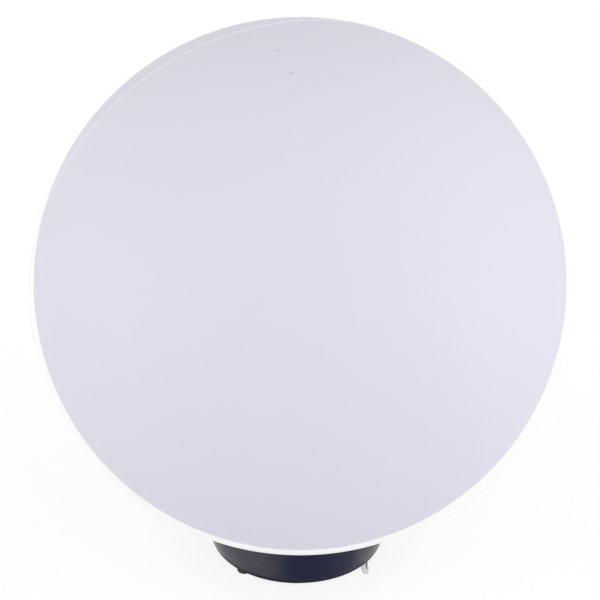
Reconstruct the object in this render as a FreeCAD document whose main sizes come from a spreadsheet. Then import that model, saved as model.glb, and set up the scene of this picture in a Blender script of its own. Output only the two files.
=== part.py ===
import FreeCAD, Part
import math
import os
import Sketcher

# Garden globe light: a hollow moulded globe that twists onto a flared black
# base. The base holds three AA cells in a tray, a control board with a push
# switch, and an LED board under a diffuser cap that stands inside the globe.
# A clear film tab keeps the first cell off its contact until it is pulled.
#
# Frame: millimetres and degrees, +Z up, the floor under the feet at Z = 0,
# the globe's axis on the Z axis, the front towards -Y, +X to the right.
# Angles turn anticlockwise from +X, seen from above.

SIZES = (
    # the globe
    ("globe_radius", 200.0, "outer radius of the globe"),
    ("globe_wall", 3.0, "wall of the globe"),
    ("globe_lift", 25.7, "floor to the lowest point of the full sphere"),
    ("mouth_radius", 60.0, "bore of the globe's mouth tube"),
    ("mouth_wall", 3.0, "wall of the mouth tube"),
    ("mouth_top", 57.0, "floor to the top of the mouth tube"),
    ("seam_width", 0.8, "width of the mould seam's bead"),
    ("seam_proud", 0.3, "height of the bead above the globe"),
    ("seam_turn", 16.1, "turn of the seam's plane from the front"),
    ("seam_lean", 3.8, "lean of the seam's top towards the front"),
    ("seam_clear", 4.4, "collar's rim to where the bead is trimmed off"),
    # the twist lock between globe and base
    ("lug_width", 8.0, "width of a lock lug"),
    ("lug_height", 4.0, "height of a lock lug"),
    ("lug_drop", 9.0, "top of the mouth tube down to the underside of the lugs"),
    ("lug_reach", 2.4, "how far a lug stands out of the neck"),
    ("lug_gap", 0.3, "clearance of a lug in its slot"),
    ("lug_turn", 60.0, "angle of the first lug"),
    ("lock_turn", 18.0, "turn of the globe from locked to free"),
    # the collar of the base
    ("base_radius", 69.5, "radius of the base at its underside"),
    ("base_wall", 3.0, "wall of the collar"),
    ("rim_radius", 83.4, "outer radius of the collar's rim"),
    ("rim_drop", 3.0, "height of the globe seat at that radius above the rim's edge"),
    ("rim_land", 1.4, "width of the rim's top"),
    ("rim_round", 0.5, "rounding of the rim"),
    ("seat_gap", 0.3, "clearance of the globe in its seat"),
    ("neck_gap", 0.4, "clearance of the neck in the mouth tube"),
    ("neck_top", 62.0, "floor to the top of the neck"),
    ("ledge_width", 3.5, "width of the ledge for the lamp plate"),
    ("ledge_drop", 4.0, "top of the neck down to the top of that ledge"),
    ("ledge_edge", 1.5, "thickness of the ledge at its tip"),
    ("seal_offset", 6.0, "mouth tube's bore to the middle of the globe's seal"),
    ("seal_width", 2.6, "width of the globe's seal"),
    ("seal_depth", 1.0, "depth of the groove for the seal"),
    ("seal_clear", 0.15, "clearance of the seal below the globe"),
    # the bottom cover
    ("foot_height", 3.0, "height of the rubber feet"),
    ("cover_edge", 3.8, "height of the cover's edge"),
    ("cover_plate", 2.5, "thickness of the cover's plate"),
    ("cover_round", 1.2, "rounding of the cover's lower edge"),
    ("parting_gap", 0.5, "height of the groove between cover and collar"),
    ("parting_depth", 1.4, "depth of that groove"),
    ("lip_height", 2.0, "height of the cover's lip inside the collar"),
    ("lip_wall", 2.0, "wall of the lip"),
    ("lip_gap", 0.15, "clearance of the lip in the collar"),
    ("cover_seal_height", 1.6, "height of the gasket on the lip"),
    # the feet
    ("foot_radius", 4.6, "radius of a foot"),
    ("foot_round", 1.2, "rounding of a foot"),
    ("foot_sink", 1.0, "depth of a foot's recess"),
    ("foot_gap", 0.1, "clearance of a foot in its recess"),
    ("foot_inset", 6.1, "edge of the base to the middle of a foot"),
    ("foot_turn", -130.0, "angle of the front left foot"),
    # the screws that hold the cover, the tray and the collar together
    ("boss_inset", 9.5, "edge of the base to the middle of a cover screw"),
    ("boss_turn", -70.0, "angle of the first screw"),
    ("boss_radius", 4.0, "radius of a screw boss"),
    ("ear_height", 2.0, "thickness of the tray's ears"),
    ("cover_screw_radius", 1.5, "shank radius of a cover screw"),
    ("cover_screw_head", 2.8, "head radius of a cover screw"),
    ("cover_screw_sink", 1.5, "depth of a cover screw's head in the cover"),
    ("cover_screw_length", 16.0, "length of a cover screw under its head"),
    ("screw_gap", 0.2, "clearance round a screw"),
    ("drive_width", 0.8, "width of a screw's cross recess"),
    # the battery tray and the cells
    ("cell_radius", 7.25, "radius of an AA cell"),
    ("cell_length", 49.5, "length of a cell's can"),
    ("nub_radius", 2.75, "radius of a cell's positive nub"),
    ("nub_length", 1.0, "length of that nub"),
    ("cell_inset", 20.5, "edge of the base to the middle of a cell"),
    ("cell_gap", 0.1, "clearance of a cell in its cradle"),
    ("tray_floor", 1.5, "floor of the tray"),
    ("tray_wall", 1.3, "walls of the tray"),
    ("tray_bore", 33.0, "radius of the tray's central opening"),
    ("tray_gap", 0.3, "clearance of the tray inside the lip"),
    ("end_height", 13.0, "height of the cradle's end walls above the floor"),
    ("contact_plate", 0.4, "thickness of a contact plate"),
    ("contact_half", 4.5, "half width of a contact plate"),
    ("contact_height", 11.0, "height of a contact plate"),
    ("bump_radius", 2.5, "radius of the negative contact's bump"),
    ("bump_height", 1.2, "height of that bump"),
    # the film tab
    ("film", 0.2, "thickness of the film tab"),
    ("film_gap", 0.05, "clearance of the film on each side"),
    ("tab_offset", 8.3, "middle of the cell to the right edge of the tab"),
    ("tab_width", 11.6, "width of the tab at the cell"),
    ("tab_neck", 5.2, "width of the tab where it leaves the base"),
    ("tab_end", 2.6, "width of the tab at its end"),
    ("tab_tail", 9.1, "how far the tab stands out from under the base"),
    ("tab_lift", 0.1, "floor to the underside of the tab"),
    ("tab_top", 13.0, "height of the tab above the tray's floor"),
    ("slot_gap", 0.5, "clearance of the tab in its slots"),
    # the push button and its switch
    ("button_radius", 6.0, "radius of the push button"),
    ("button_gap", 0.08, "clearance of the button in the cover"),
    ("button_sink", 0.4, "how far the button's face lies inside the cover"),
    ("button_round", 0.5, "rounding of the button's face"),
    ("flange_radius", 7.5, "radius of the button's flange"),
    ("flange_height", 0.8, "thickness of that flange"),
    ("button_travel", 0.6, "travel of the button"),
    ("button_spare", 0.1, "space left over at full travel"),
    ("switch_side", 6.2, "side of the push switch"),
    ("switch_height", 3.5, "height of the push switch"),
    ("plunger_radius", 1.7, "radius of the switch plunger"),
    ("plunger_gap", 0.05, "clearance of the plunger in the switch"),
    ("plunger_length", 1.7, "length of the plunger"),
    # the control board
    ("board_radius", 28.0, "radius of the control board"),
    ("board_thickness", 1.6, "thickness of both circuit boards"),
    ("post_offset", 22.0, "distance of the board's posts from the axis"),
    ("post_turn", 30.0, "angle of the first post"),
    ("post_radius", 3.0, "radius of a post"),
    ("small_screw_radius", 1.1, "shank radius of a board screw"),
    ("small_screw_head", 2.2, "head radius of a board screw"),
    ("small_head_height", 1.3, "head height of a board screw"),
    ("small_screw_length", 5.0, "length of a board screw under its head"),
    ("plug_width", 10.0, "width of the lead connector"),
    ("plug_depth", 6.0, "depth of the lead connector"),
    ("plug_height", 5.0, "height of the lead connector"),
    ("can_radius", 4.0, "radius of the board's capacitor"),
    ("can_height", 8.0, "height of the board's capacitor"),
    ("coil_radius", 4.5, "radius of the board's coil"),
    ("coil_height", 5.0, "height of the board's coil"),
    ("chip_side", 5.0, "side of the controller chip"),
    ("chip_height", 1.5, "height of the controller chip"),
    ("part_offset", 15.0, "distance of those parts from the axis"),
    # the lamp in the neck
    ("plate_thickness", 2.0, "thickness of the lamp plate"),
    ("plate_gap", 0.1, "clearance of the lamp plate in the neck"),
    ("led_board_radius", 46.0, "radius of the LED board"),
    ("lead_hole", 4.5, "radius of the hole for the leads"),
    ("led_side", 5.0, "side of an LED"),
    ("led_height", 0.9, "height of an LED"),
    ("inner_offset", 24.0, "distance of the inner ring of LEDs from the axis"),
    ("outer_offset", 37.0, "distance of the outer ring of LEDs from the axis"),
    ("led_screw_offset", 43.0, "distance of the LED screws from the axis"),
    ("led_screw_turn", 15.0, "angle of the first LED screw"),
    ("led_screw_length", 3.2, "length of an LED screw under its head"),
    ("cap_wall", 1.8, "wall of the diffuser cap"),
    ("cap_gap", 0.1, "clearance of the cap in the neck"),
    ("cap_crown", 75.0, "radius of the cap's crown"),
    ("cap_height", 32.0, "height of the cap above the lamp plate"),
    # the leads from the control board to the LED board
    ("lead_radius", 0.8, "radius of a lead"),
    ("lead_offset", 1.8, "distance of a lead from the axis"),
    ("lead_bend", 3.0, "bend radius of a lead"),
    ("lead_run", 5.0, "straight end of a lead on the LED board"),
)

DRIVE_REACH = 0.65  # half length of a screw's cross recess, as a share of the head's radius
DRIVE_DEPTH = 0.5  # depth of that recess, as a share of the head's height

X_AXIS = FreeCAD.Vector(1, 0, 0)
Y_AXIS = FreeCAD.Vector(0, 1, 0)
Z_AXIS = FreeCAD.Vector(0, 0, 1)

LUGS = 3
FEET = 3
SCREWS = 3
CELLS = 3
INNER_LEDS = 6
OUTER_LEDS = 12

# Places and sizes that follow from the sheet and that several pieces share.
FOLLOWING = (
    ("globe_z", "dim.globe_lift + dim.globe_radius"),
    ("seat_radius", "dim.globe_radius + dim.seat_gap"),
    ("neck_radius", "dim.mouth_radius - dim.neck_gap"),
    ("neck_bore", "fit.neck_radius - dim.base_wall"),
    ("seal_circle", "dim.mouth_radius + dim.seal_offset"),
    ("lug_base", "dim.mouth_top - dim.lug_drop"),
    ("lug_half", "dim.lug_width / 2"),
    ("lug_half_turn", "asin(fit.lug_half / dim.mouth_radius) / 1 deg"),
    ("slot_half_turn", "asin((fit.lug_half + dim.lug_gap) / dim.mouth_radius) / 1 deg"),
    ("rim_top", "fit.globe_z - sqrt(fit.seat_radius^2 - dim.rim_radius^2)"),
    ("rim_z", "fit.rim_top - dim.rim_drop"),
    ("lean", "(dim.rim_radius - dim.base_radius) / (fit.rim_z - dim.foot_height)"),
    ("wall_across", "dim.base_wall * sqrt(1 + fit.lean^2)"),
    ("part_z", "dim.foot_height + dim.cover_edge"),
    ("part_radius", "dim.base_radius + dim.cover_edge * fit.lean"),
    ("collar_bore", "fit.part_radius - fit.wall_across"),
    ("foot_circle", "dim.base_radius - dim.foot_inset"),
    ("boss_circle", "dim.base_radius - dim.boss_inset"),
    ("plate_top", "dim.foot_height + dim.cover_plate"),
    ("lip_radius", "fit.collar_bore - dim.lip_gap"),
    ("lip_bore", "fit.lip_radius - dim.lip_wall"),
    ("lip_top", "fit.part_z + dim.lip_height"),
    ("boss_z", "fit.plate_top + dim.ear_height"),
    ("tray_top", "fit.plate_top + dim.tray_floor"),
    ("tray_radius", "fit.lip_bore - dim.tray_gap"),
    ("cell_z", "fit.tray_top + dim.cell_gap + dim.cell_radius"),
    ("cell_circle", "dim.base_radius - dim.cell_inset"),
    ("cell_half", "dim.cell_length / 2"),
    ("film_room", "dim.film + 2 * dim.film_gap"),
    ("bump_y", "fit.cell_half + fit.film_room"),
    ("minus_y", "fit.bump_y + dim.bump_height"),
    ("minus_wall_y", "fit.minus_y + dim.contact_plate"),
    ("plus_y", "fit.cell_half + dim.nub_length"),
    ("plus_wall_y", "fit.plus_y + dim.contact_plate"),
    ("cradle_half", "dim.cell_radius + dim.cell_gap + dim.tray_wall"),
    ("film_y", "fit.cell_half + dim.film_gap"),
    ("tab_right", "fit.cell_circle + dim.tab_offset"),
    ("tab_left", "fit.tab_right - dim.tab_width"),
    ("tab_neck_reach", "sqrt(dim.base_radius^2 - (fit.tab_right - dim.tab_neck / 2)^2)"),
    ("tab_reach", "fit.tab_neck_reach + dim.tab_tail"),
    ("flange_z", "fit.plate_top + dim.flange_height"),
    ("switch_z", "fit.flange_z + dim.button_travel + dim.button_spare"),
    ("board_z", "fit.switch_z + dim.switch_height"),
    ("board_top", "fit.board_z + dim.board_thickness"),
    ("plug_top", "fit.board_top + dim.plug_height"),
    ("ledge_top", "dim.neck_top - dim.ledge_drop"),
    ("plate_z", "fit.ledge_top + dim.plate_thickness"),
    ("led_z", "fit.plate_z + dim.board_thickness"),
    ("cap_radius", "fit.neck_bore - dim.cap_gap"),
    ("cap_top", "fit.plate_z + dim.cap_height"),
)


def fill_sheet(sheet):
    """Write every size into the sheet as a plain number with an alias."""
    for row, (alias, number, meaning) in enumerate(SIZES, start=1):
        sheet.set(f"A{row}", alias)
        sheet.set(f"B{row}", str(number))
        sheet.set(f"C{row}", meaning)
        sheet.setAlias(f"B{row}", alias)


def fill_following(fit):
    """Bind the shared following sizes to the sheet, in order."""
    for name, text in FOLLOWING:
        fit.addProperty("App::PropertyFloat", name)
        fit.setExpression(name, text)


def value(text):
    """The present value of an expression on the sheet."""
    PROBE.setExpression("reading", text)
    PROBE.recompute()
    if "Invalid" in PROBE.State:
        raise ValueError(f"no value for {text}")
    return PROBE.reading


def spun(axis, angle):
    """A placement at the origin, turned about an axis."""
    return FreeCAD.Placement(FreeCAD.Vector(), FreeCAD.Rotation(axis, angle))


def new_body(label):
    """A new sub-part."""
    body = DOC.addObject("PartDesign::Body", label)
    body.Label = label
    return body


def origin_feature(body, role):
    """One of a body's own origin planes or axes."""
    features = body.Origin.OriginFeatures
    return next(item for item in features if item.Role == role)


def sketch_on(body, name, role="XY_Plane", lift=None):
    """An empty sketch on one of the body's planes, lifted along its normal."""
    sketch = body.newObject("Sketcher::SketchObject", name)
    sketch.AttachmentSupport = [(origin_feature(body, role), "")]
    sketch.MapMode = "FlatFace"
    if lift:
        sketch.setExpression("AttachmentOffset.Base.z", lift)
    return sketch


def hold(sketch, kind, geometry, point, text):
    """Tie one coordinate of a sketch point to an expression."""
    axis = -2 if kind == "DistanceX" else -1
    if text == "0":
        sketch.addConstraint(Sketcher.Constraint("PointOnObject", geometry, point, axis))
        return
    tie = Sketcher.Constraint(kind, -1, 1, geometry, point, value(text))
    number = sketch.addConstraint(tie)
    sketch.setExpression(f"Constraints[{number}]", text)


def add_outline(sketch, corners):
    """A closed outline of straight lines; each corner is (x, y) as expressions."""
    places = [FreeCAD.Vector(value(x), value(y), 0) for x, y in corners]
    lines = []
    for start, end in zip(places, places[1:] + places[:1]):
        lines.append(sketch.addGeometry(Part.LineSegment(start, end), False))
    for index, line in enumerate(lines):
        before = lines[index - 1]
        sketch.addConstraint(Sketcher.Constraint("Coincident", before, 2, line, 1))
        hold(sketch, "DistanceX", line, 1, corners[index][0])
        hold(sketch, "DistanceY", line, 1, corners[index][1])


def add_circle(sketch, x, y, radius):
    """A circle; its centre and radius are expressions."""
    centre = FreeCAD.Vector(value(x), value(y), 0)
    circle = Part.Circle(centre, Z_AXIS, value(radius))
    number = sketch.addGeometry(circle, False)
    hold(sketch, "DistanceX", number, 3, x)
    hold(sketch, "DistanceY", number, 3, y)
    tie = sketch.addConstraint(Sketcher.Constraint("Radius", number, value(radius)))
    sketch.setExpression(f"Constraints[{tie}]", radius)


def box_corners(x0, x1, y0, y1):
    """The corners of an upright rectangle."""
    return ((x0, y0), (x1, y0), (x1, y1), (x0, y1))


def finish_feature(body, feature, removes):
    """Recompute, and see that a cut cuts and an addition adds."""
    before = body.Shape.Volume if body.Shape and not body.Shape.isNull() else 0.0
    DOC.recompute()
    body.Tip = feature
    DOC.recompute()
    change = body.Shape.Volume - before
    if (removes and change >= 0) or (not removes and change <= 0):
        raise RuntimeError(f"{body.Label}: {feature.Name} changes the volume by {change}")
    return feature


def revolve(body, name, corners, removes=False):
    """A ring or disc turned about the body's Z axis from an XZ outline."""
    sketch = sketch_on(body, f"{name}_outline", "XZ_Plane")
    add_outline(sketch, corners)
    kind = "PartDesign::Groove" if removes else "PartDesign::Revolution"
    feature = body.newObject(kind, name)
    feature.Profile = sketch
    feature.ReferenceAxis = (sketch, ["V_Axis"])
    feature.Angle = 360
    return finish_feature(body, feature, removes)


def pad(body, name, sketch, length, both_ways=False):
    """A sketch raised along its normal."""
    feature = body.newObject("PartDesign::Pad", name)
    feature.Profile = sketch
    feature.setExpression("Length", length)
    feature.Midplane = both_ways
    return finish_feature(body, feature, False)


def pocket(body, name, sketch, length, both_ways=False):
    """A sketch cut along its normal, which points into the solid."""
    feature = body.newObject("PartDesign::Pocket", name)
    feature.Profile = sketch
    feature.setExpression("Length", length)
    feature.Midplane = both_ways
    feature.Reversed = not both_ways
    return finish_feature(body, feature, True)


def raised_circles(body, name, lift, length, circles):
    """One pad of several circles, each (x, y, radius)."""
    sketch = sketch_on(body, f"{name}_circles", lift=lift)
    for circle in circles:
        add_circle(sketch, *circle)
    return pad(body, name, sketch, length)


def cut_circles(body, name, lift, length, circles):
    """One upward pocket of several circles, each (x, y, radius)."""
    sketch = sketch_on(body, f"{name}_circles", lift=lift)
    for circle in circles:
        add_circle(sketch, *circle)
    return pocket(body, name, sketch, length)


def raised_box(body, name, lift, length, corners):
    """A pad of one straight outline."""
    sketch = sketch_on(body, f"{name}_outline", lift=lift)
    add_outline(sketch, corners)
    return pad(body, name, sketch, length)


def cut_box(body, name, lift, length, corners):
    """An upward pocket of one straight outline."""
    sketch = sketch_on(body, f"{name}_outline", lift=lift)
    add_outline(sketch, corners)
    return pocket(body, name, sketch, length)


def repeat(body, name, features, count, removes=False):
    """The same features again at even angles round the Z axis."""
    pattern = body.newObject("PartDesign::PolarPattern", name)
    pattern.Originals = features
    pattern.Axis = (origin_feature(body, "Z_Axis"), [""])
    pattern.Angle = 360
    pattern.Occurrences = count
    return finish_feature(body, pattern, removes)


def ball(body, name, radius, removes=False, lying=False):
    """A sphere about the globe's centre, with its poles on Z or lying on Y."""
    kind = "PartDesign::SubtractiveSphere" if removes else "PartDesign::AdditiveSphere"
    feature = body.newObject(kind, name)
    feature.setExpression("Radius", radius)
    if lying:
        feature.Placement = spun(X_AXIS, 90)
    feature.setExpression("Placement.Base.z", "fit.globe_z")
    return finish_feature(body, feature, removes)


def round_rings(body, name, radius, rings):
    """Round the circular edges that have a radius and a height in rings."""
    base = body.Tip
    wanted = [(value(ring), value(height)) for ring, height in rings]
    edges = []
    for number, edge in enumerate(base.Shape.Edges, start=1):
        curve = edge.Curve
        if not isinstance(curve, Part.Circle):
            continue
        for ring, height in wanted:
            same_ring = math.isclose(curve.Radius, ring, abs_tol=1e-4)
            same_height = math.isclose(curve.Center.z, height, abs_tol=1e-4)
            if same_ring and same_height:
                edges.append(f"Edge{number}")
    if len(edges) < len(wanted):
        raise RuntimeError(f"{body.Label}: {name} finds {len(edges)} edges")
    fillet = body.newObject("PartDesign::Fillet", name)
    fillet.Base = (base, edges)
    fillet.setExpression("Radius", radius)
    return finish_feature(body, fillet, True)


def polar(radius, turn):
    """The x and y expressions of a place at a radius and an angle."""
    return (f"({radius}) * cos({turn})", f"({radius}) * sin({turn})")


def turned(body, text):
    """Turn a whole sub-part about the Z axis."""
    body.Placement = spun(Z_AXIS, 0)
    body.setExpression("Placement.Rotation.Angle", text)


def sphere_z(radius, reach):
    """The height of the underside of a sphere about the globe's centre."""
    return f"fit.globe_z - sqrt(({radius})^2 - ({reach})^2)"


# ---- the globe ----------------------------------------------------------

def make_globe_shell():
    """The moulded globe: shell, mouth tube with lock slots, seam bead."""
    body = new_body("globe_shell")
    seam = sketch_on(body, "seam_outline", "XZ_Plane")
    seam.AttachmentOffset = spun(X_AXIS, 1)
    seam.setExpression("AttachmentOffset.Base.y", "fit.globe_z")
    seam.setExpression("AttachmentOffset.Rotation.Angle", "dim.seam_lean")
    add_circle(seam, "0", "0", "dim.globe_radius + dim.seam_proud")
    pad(body, "seam", seam, "dim.seam_width", both_ways=True)
    cut_box(body, "seam_end", None, "fit.rim_top + dim.seam_clear", box_corners(
        "-2 * dim.globe_radius", "2 * dim.globe_radius", "-dim.globe_radius", "dim.globe_radius"))
    ball(body, "outside", "dim.globe_radius", lying=True)
    ball(body, "inside", "dim.globe_radius - dim.globe_wall", removes=True, lying=True)
    mouth_outer = "dim.mouth_radius + dim.mouth_wall"
    mouth_middle = "dim.mouth_radius + dim.mouth_wall / 2"
    root = sphere_z("dim.globe_radius - dim.globe_wall / 2", mouth_middle)
    revolve(body, "mouth_tube", box_corners("dim.mouth_radius", mouth_outer, root, "dim.mouth_top"))
    cut_circles(body, "mouth", None, "dim.mouth_top", [("0", "0", "dim.mouth_radius")])
    # each lock slot is an entry from below and a run round the tube
    first = "dim.lug_turn - dim.seam_turn"
    inner = "dim.mouth_radius - dim.mouth_wall"
    outer = "dim.mouth_radius + 2 * dim.mouth_wall"
    half = "fit.slot_half_turn"
    entry_turn = f"{first} - dim.lock_turn"
    entry = cut_box(body, "lock_entry", None, "fit.lug_base + dim.lug_height + dim.lug_gap", (
        polar(inner, f"{entry_turn} - {half}"), polar(outer, f"{entry_turn} - {half}"),
        polar(outer, f"{entry_turn} + {half}"), polar(inner, f"{entry_turn} + {half}")))
    middle = f"{first} - dim.lock_turn / 2"
    run = cut_box(body, "lock_run", "fit.lug_base - dim.lug_gap", "dim.lug_height + 2 * dim.lug_gap", (
        polar(inner, f"{entry_turn} - {half}"), polar(outer, f"{entry_turn} - {half}"),
        polar(outer, middle), polar(outer, f"{first} + {half}"), polar(inner, f"{first} + {half}")))
    repeat(body, "lock_slots", [entry, run], LUGS, removes=True)
    turned(body, "dim.seam_turn")
    return body


def make_seal_ring():
    """The soft ring between the collar's seat and the globe."""
    body = new_body("seal_ring")
    inner = "fit.seal_circle - dim.seal_width / 2"
    outer = "fit.seal_circle + dim.seal_width / 2"
    floor = f"{sphere_z('fit.seat_radius', inner)} - dim.seal_depth"
    top = sphere_z("fit.seat_radius - dim.seal_depth", outer)
    revolve(body, "ring", box_corners(inner, outer, floor, top))
    ball(body, "seat", "dim.globe_radius + dim.seal_clear", removes=True)
    return body


# ---- the base -----------------------------------------------------------

def make_base_collar():
    """The flared collar: cone, globe seat, neck with lugs, screw bosses."""
    body = new_body("base_collar")
    rim_inner = "dim.rim_radius - dim.rim_land"
    seat_wall = "fit.seat_radius + dim.base_wall"
    under_rim = "dim.rim_radius - fit.wall_across"
    revolve(body, "cup", (
        ("fit.part_radius", "fit.part_z"),
        ("dim.rim_radius", "fit.rim_z"),
        (rim_inner, "fit.rim_top"),
        ("fit.neck_bore", "fit.rim_top"),
        ("fit.neck_bore", sphere_z(seat_wall, "fit.neck_bore")),
        (under_rim, sphere_z(seat_wall, under_rim)),
        ("fit.collar_bore", "fit.part_z")))
    ball(body, "seat", "fit.seat_radius", removes=True)
    round_rings(body, "rim_edge", "dim.rim_round", [("dim.rim_radius", "fit.rim_z")])
    tip = "fit.neck_bore - dim.ledge_width"
    revolve(body, "neck", (
        ("fit.neck_bore", sphere_z(seat_wall, "fit.neck_bore")),
        ("fit.neck_radius", sphere_z(seat_wall, "fit.neck_radius")),
        ("fit.neck_radius", "dim.neck_top"),
        ("fit.neck_bore", "dim.neck_top"),
        ("fit.neck_bore", "fit.ledge_top"),
        (tip, "fit.ledge_top"),
        (tip, "fit.ledge_top - dim.ledge_edge"),
        ("fit.neck_bore", "fit.ledge_top - dim.ledge_edge - dim.ledge_width")))
    lug = lock_lug(body)
    repeat(body, "lock_lugs", [lug], LUGS)
    boss_x, boss_y = polar("fit.boss_circle", "dim.boss_turn")
    boss_top = sphere_z("fit.seat_radius + dim.base_wall / 2", "fit.boss_circle")
    boss = raised_circles(
        body, "boss", "fit.boss_z", f"{boss_top} - fit.boss_z", [(boss_x, boss_y, "dim.boss_radius")])
    repeat(body, "bosses", [boss], SCREWS)
    pilot = cut_circles(
        body, "pilot", "fit.boss_z",
        "dim.cover_screw_length - dim.ear_height - dim.cover_plate + dim.cover_screw_sink + dim.screw_gap",
        [(boss_x, boss_y, "dim.cover_screw_radius")])
    repeat(body, "pilots", [pilot], SCREWS, removes=True)
    seal_inner = "fit.seal_circle - dim.seal_width / 2"
    seal_outer = "fit.seal_circle + dim.seal_width / 2"
    seal_floor = f"{sphere_z('fit.seat_radius', seal_inner)} - dim.seal_depth"
    seal_top = sphere_z("dim.globe_radius", seal_outer)
    revolve(body, "seal_groove", box_corners(seal_inner, seal_outer, seal_floor, seal_top), removes=True)
    return body


def lock_lug(body):
    """One lug on the outside of the neck."""
    root = "fit.neck_radius - dim.base_wall / 2"
    reach = "fit.neck_radius + dim.lug_reach"
    turn = "dim.lug_turn"
    half = "fit.lug_half_turn"
    return raised_box(body, "lug", "fit.lug_base", "dim.lug_height", (
        polar(root, f"{turn} - {half}"), polar(reach, f"{turn} - {half}"),
        polar(reach, turn), polar(reach, f"{turn} + {half}"), polar(root, f"{turn} + {half}")))


def make_bottom_cover():
    """The disc that closes the base, with posts, recesses and holes."""
    body = new_body("bottom_cover")
    edge_top = "fit.part_z - dim.parting_gap"
    edge_radius = "dim.base_radius + (dim.cover_edge - dim.parting_gap) * fit.lean"
    groove = "fit.part_radius - dim.parting_depth"
    revolve(body, "disc", (
        ("0", "dim.foot_height"),
        ("dim.base_radius", "dim.foot_height"),
        (edge_radius, edge_top),
        (groove, edge_top),
        (groove, "fit.part_z"),
        ("fit.lip_radius", "fit.part_z"),
        ("fit.lip_radius", "fit.lip_top"),
        ("fit.lip_bore", "fit.lip_top"),
        ("fit.lip_bore", "fit.plate_top"),
        ("0", "fit.plate_top")))
    round_rings(body, "lower_edge", "dim.cover_round", [("dim.base_radius", "dim.foot_height")])
    foot_x, foot_y = polar("fit.foot_circle", "dim.foot_turn")
    recess = cut_circles(
        body, "foot_recess", "dim.foot_height", "dim.foot_sink",
        [(foot_x, foot_y, "dim.foot_radius + dim.foot_gap")])
    repeat(body, "foot_recesses", [recess], FEET, removes=True)
    hole_x, hole_y = polar("fit.boss_circle", "dim.boss_turn")
    hole = cut_circles(
        body, "screw_hole", "dim.foot_height", "dim.cover_plate",
        [(hole_x, hole_y, "dim.cover_screw_radius + dim.screw_gap")])
    head = cut_circles(
        body, "head_recess", "dim.foot_height", "dim.cover_screw_sink",
        [(hole_x, hole_y, "dim.cover_screw_head + dim.screw_gap")])
    repeat(body, "screw_holes", [hole, head], SCREWS, removes=True)
    cut_circles(body, "button_hole", "dim.foot_height", "dim.cover_plate",
                [("0", "0", "dim.button_radius + dim.button_gap")])
    cut_box(body, "tab_slot", "dim.foot_height", "dim.cover_plate", tab_slot_corners())
    post_x, post_y = polar("dim.post_offset", "dim.post_turn")
    post = raised_circles(
        body, "post", "fit.plate_top", "fit.board_z - fit.plate_top",
        [(post_x, post_y, "dim.post_radius")])
    repeat(body, "posts", [post], SCREWS)
    bore = cut_circles(
        body, "post_bore", "fit.board_top - dim.small_screw_length",
        "dim.small_screw_length - dim.board_thickness",
        [(post_x, post_y, "dim.small_screw_radius")])
    repeat(body, "post_bores", [bore], SCREWS, removes=True)
    return body


def tab_slot_corners():
    """The outline of the slot that the film tab hangs through."""
    return box_corners(
        "fit.tab_left - dim.slot_gap", "fit.tab_right + dim.slot_gap",
        "-fit.film_y - dim.film - dim.slot_gap", "-fit.film_y + dim.slot_gap")


def make_cover_seal():
    """The gasket on the cover's lip, against the collar's wall."""
    body = new_body("cover_seal")
    outer = "fit.collar_bore - dim.lip_gap"
    revolve(body, "ring", box_corners(
        "fit.lip_bore", outer, "fit.lip_top", "fit.lip_top + dim.cover_seal_height"))
    return body


def make_foot(number):
    """A rubber foot, glued into its recess."""
    body = new_body(f"foot_{number}")
    raised_circles(body, "pad", None, "dim.foot_height + dim.foot_sink", [("0", "0", "dim.foot_radius")])
    round_rings(body, "edge", "dim.foot_round", [("dim.foot_radius", "0")])
    turn = f"(dim.foot_turn + {(number - 1) * 360 / FEET})"
    x, y = polar("fit.foot_circle", turn)
    body.setExpression("Placement.Base.x", x)
    body.setExpression("Placement.Base.y", y)
    return body


def make_screws(label, circle, turn, seat, shank, head, head_height, length, upward):
    """A ring of cross-recessed screws; their heads sit on the height seat."""
    body = new_body(label)
    x, y = polar(circle, turn)
    if upward:
        head_base = f"{seat} - {head_height}"
        shank_base = seat
        drive_base = head_base
    else:
        head_base = seat
        shank_base = f"{seat} - {length}"
        drive_base = f"{seat} + {head_height} * {1 - DRIVE_DEPTH}"
    top = raised_circles(body, "head", head_base, head_height, [(x, y, head)])
    stem = raised_circles(body, "shank", shank_base, length, [(x, y, shank)])
    long_half = f"{head} * {DRIVE_REACH}"
    short_half = "dim.drive_width / 2"
    cuts = []
    for name, half_x, half_y in (("slot_a", long_half, short_half), ("slot_b", short_half, long_half)):
        corners = box_corners(f"{x} - {half_x}", f"{x} + {half_x}", f"{y} - {half_y}", f"{y} + {half_y}")
        cuts.append(cut_box(body, name, drive_base, f"{head_height} * {DRIVE_DEPTH}", corners))
    repeat(body, "ring", [top, stem], SCREWS)
    repeat(body, "recesses", cuts, SCREWS, removes=True)
    return body


# ---- the battery tray ---------------------------------------------------

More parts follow.
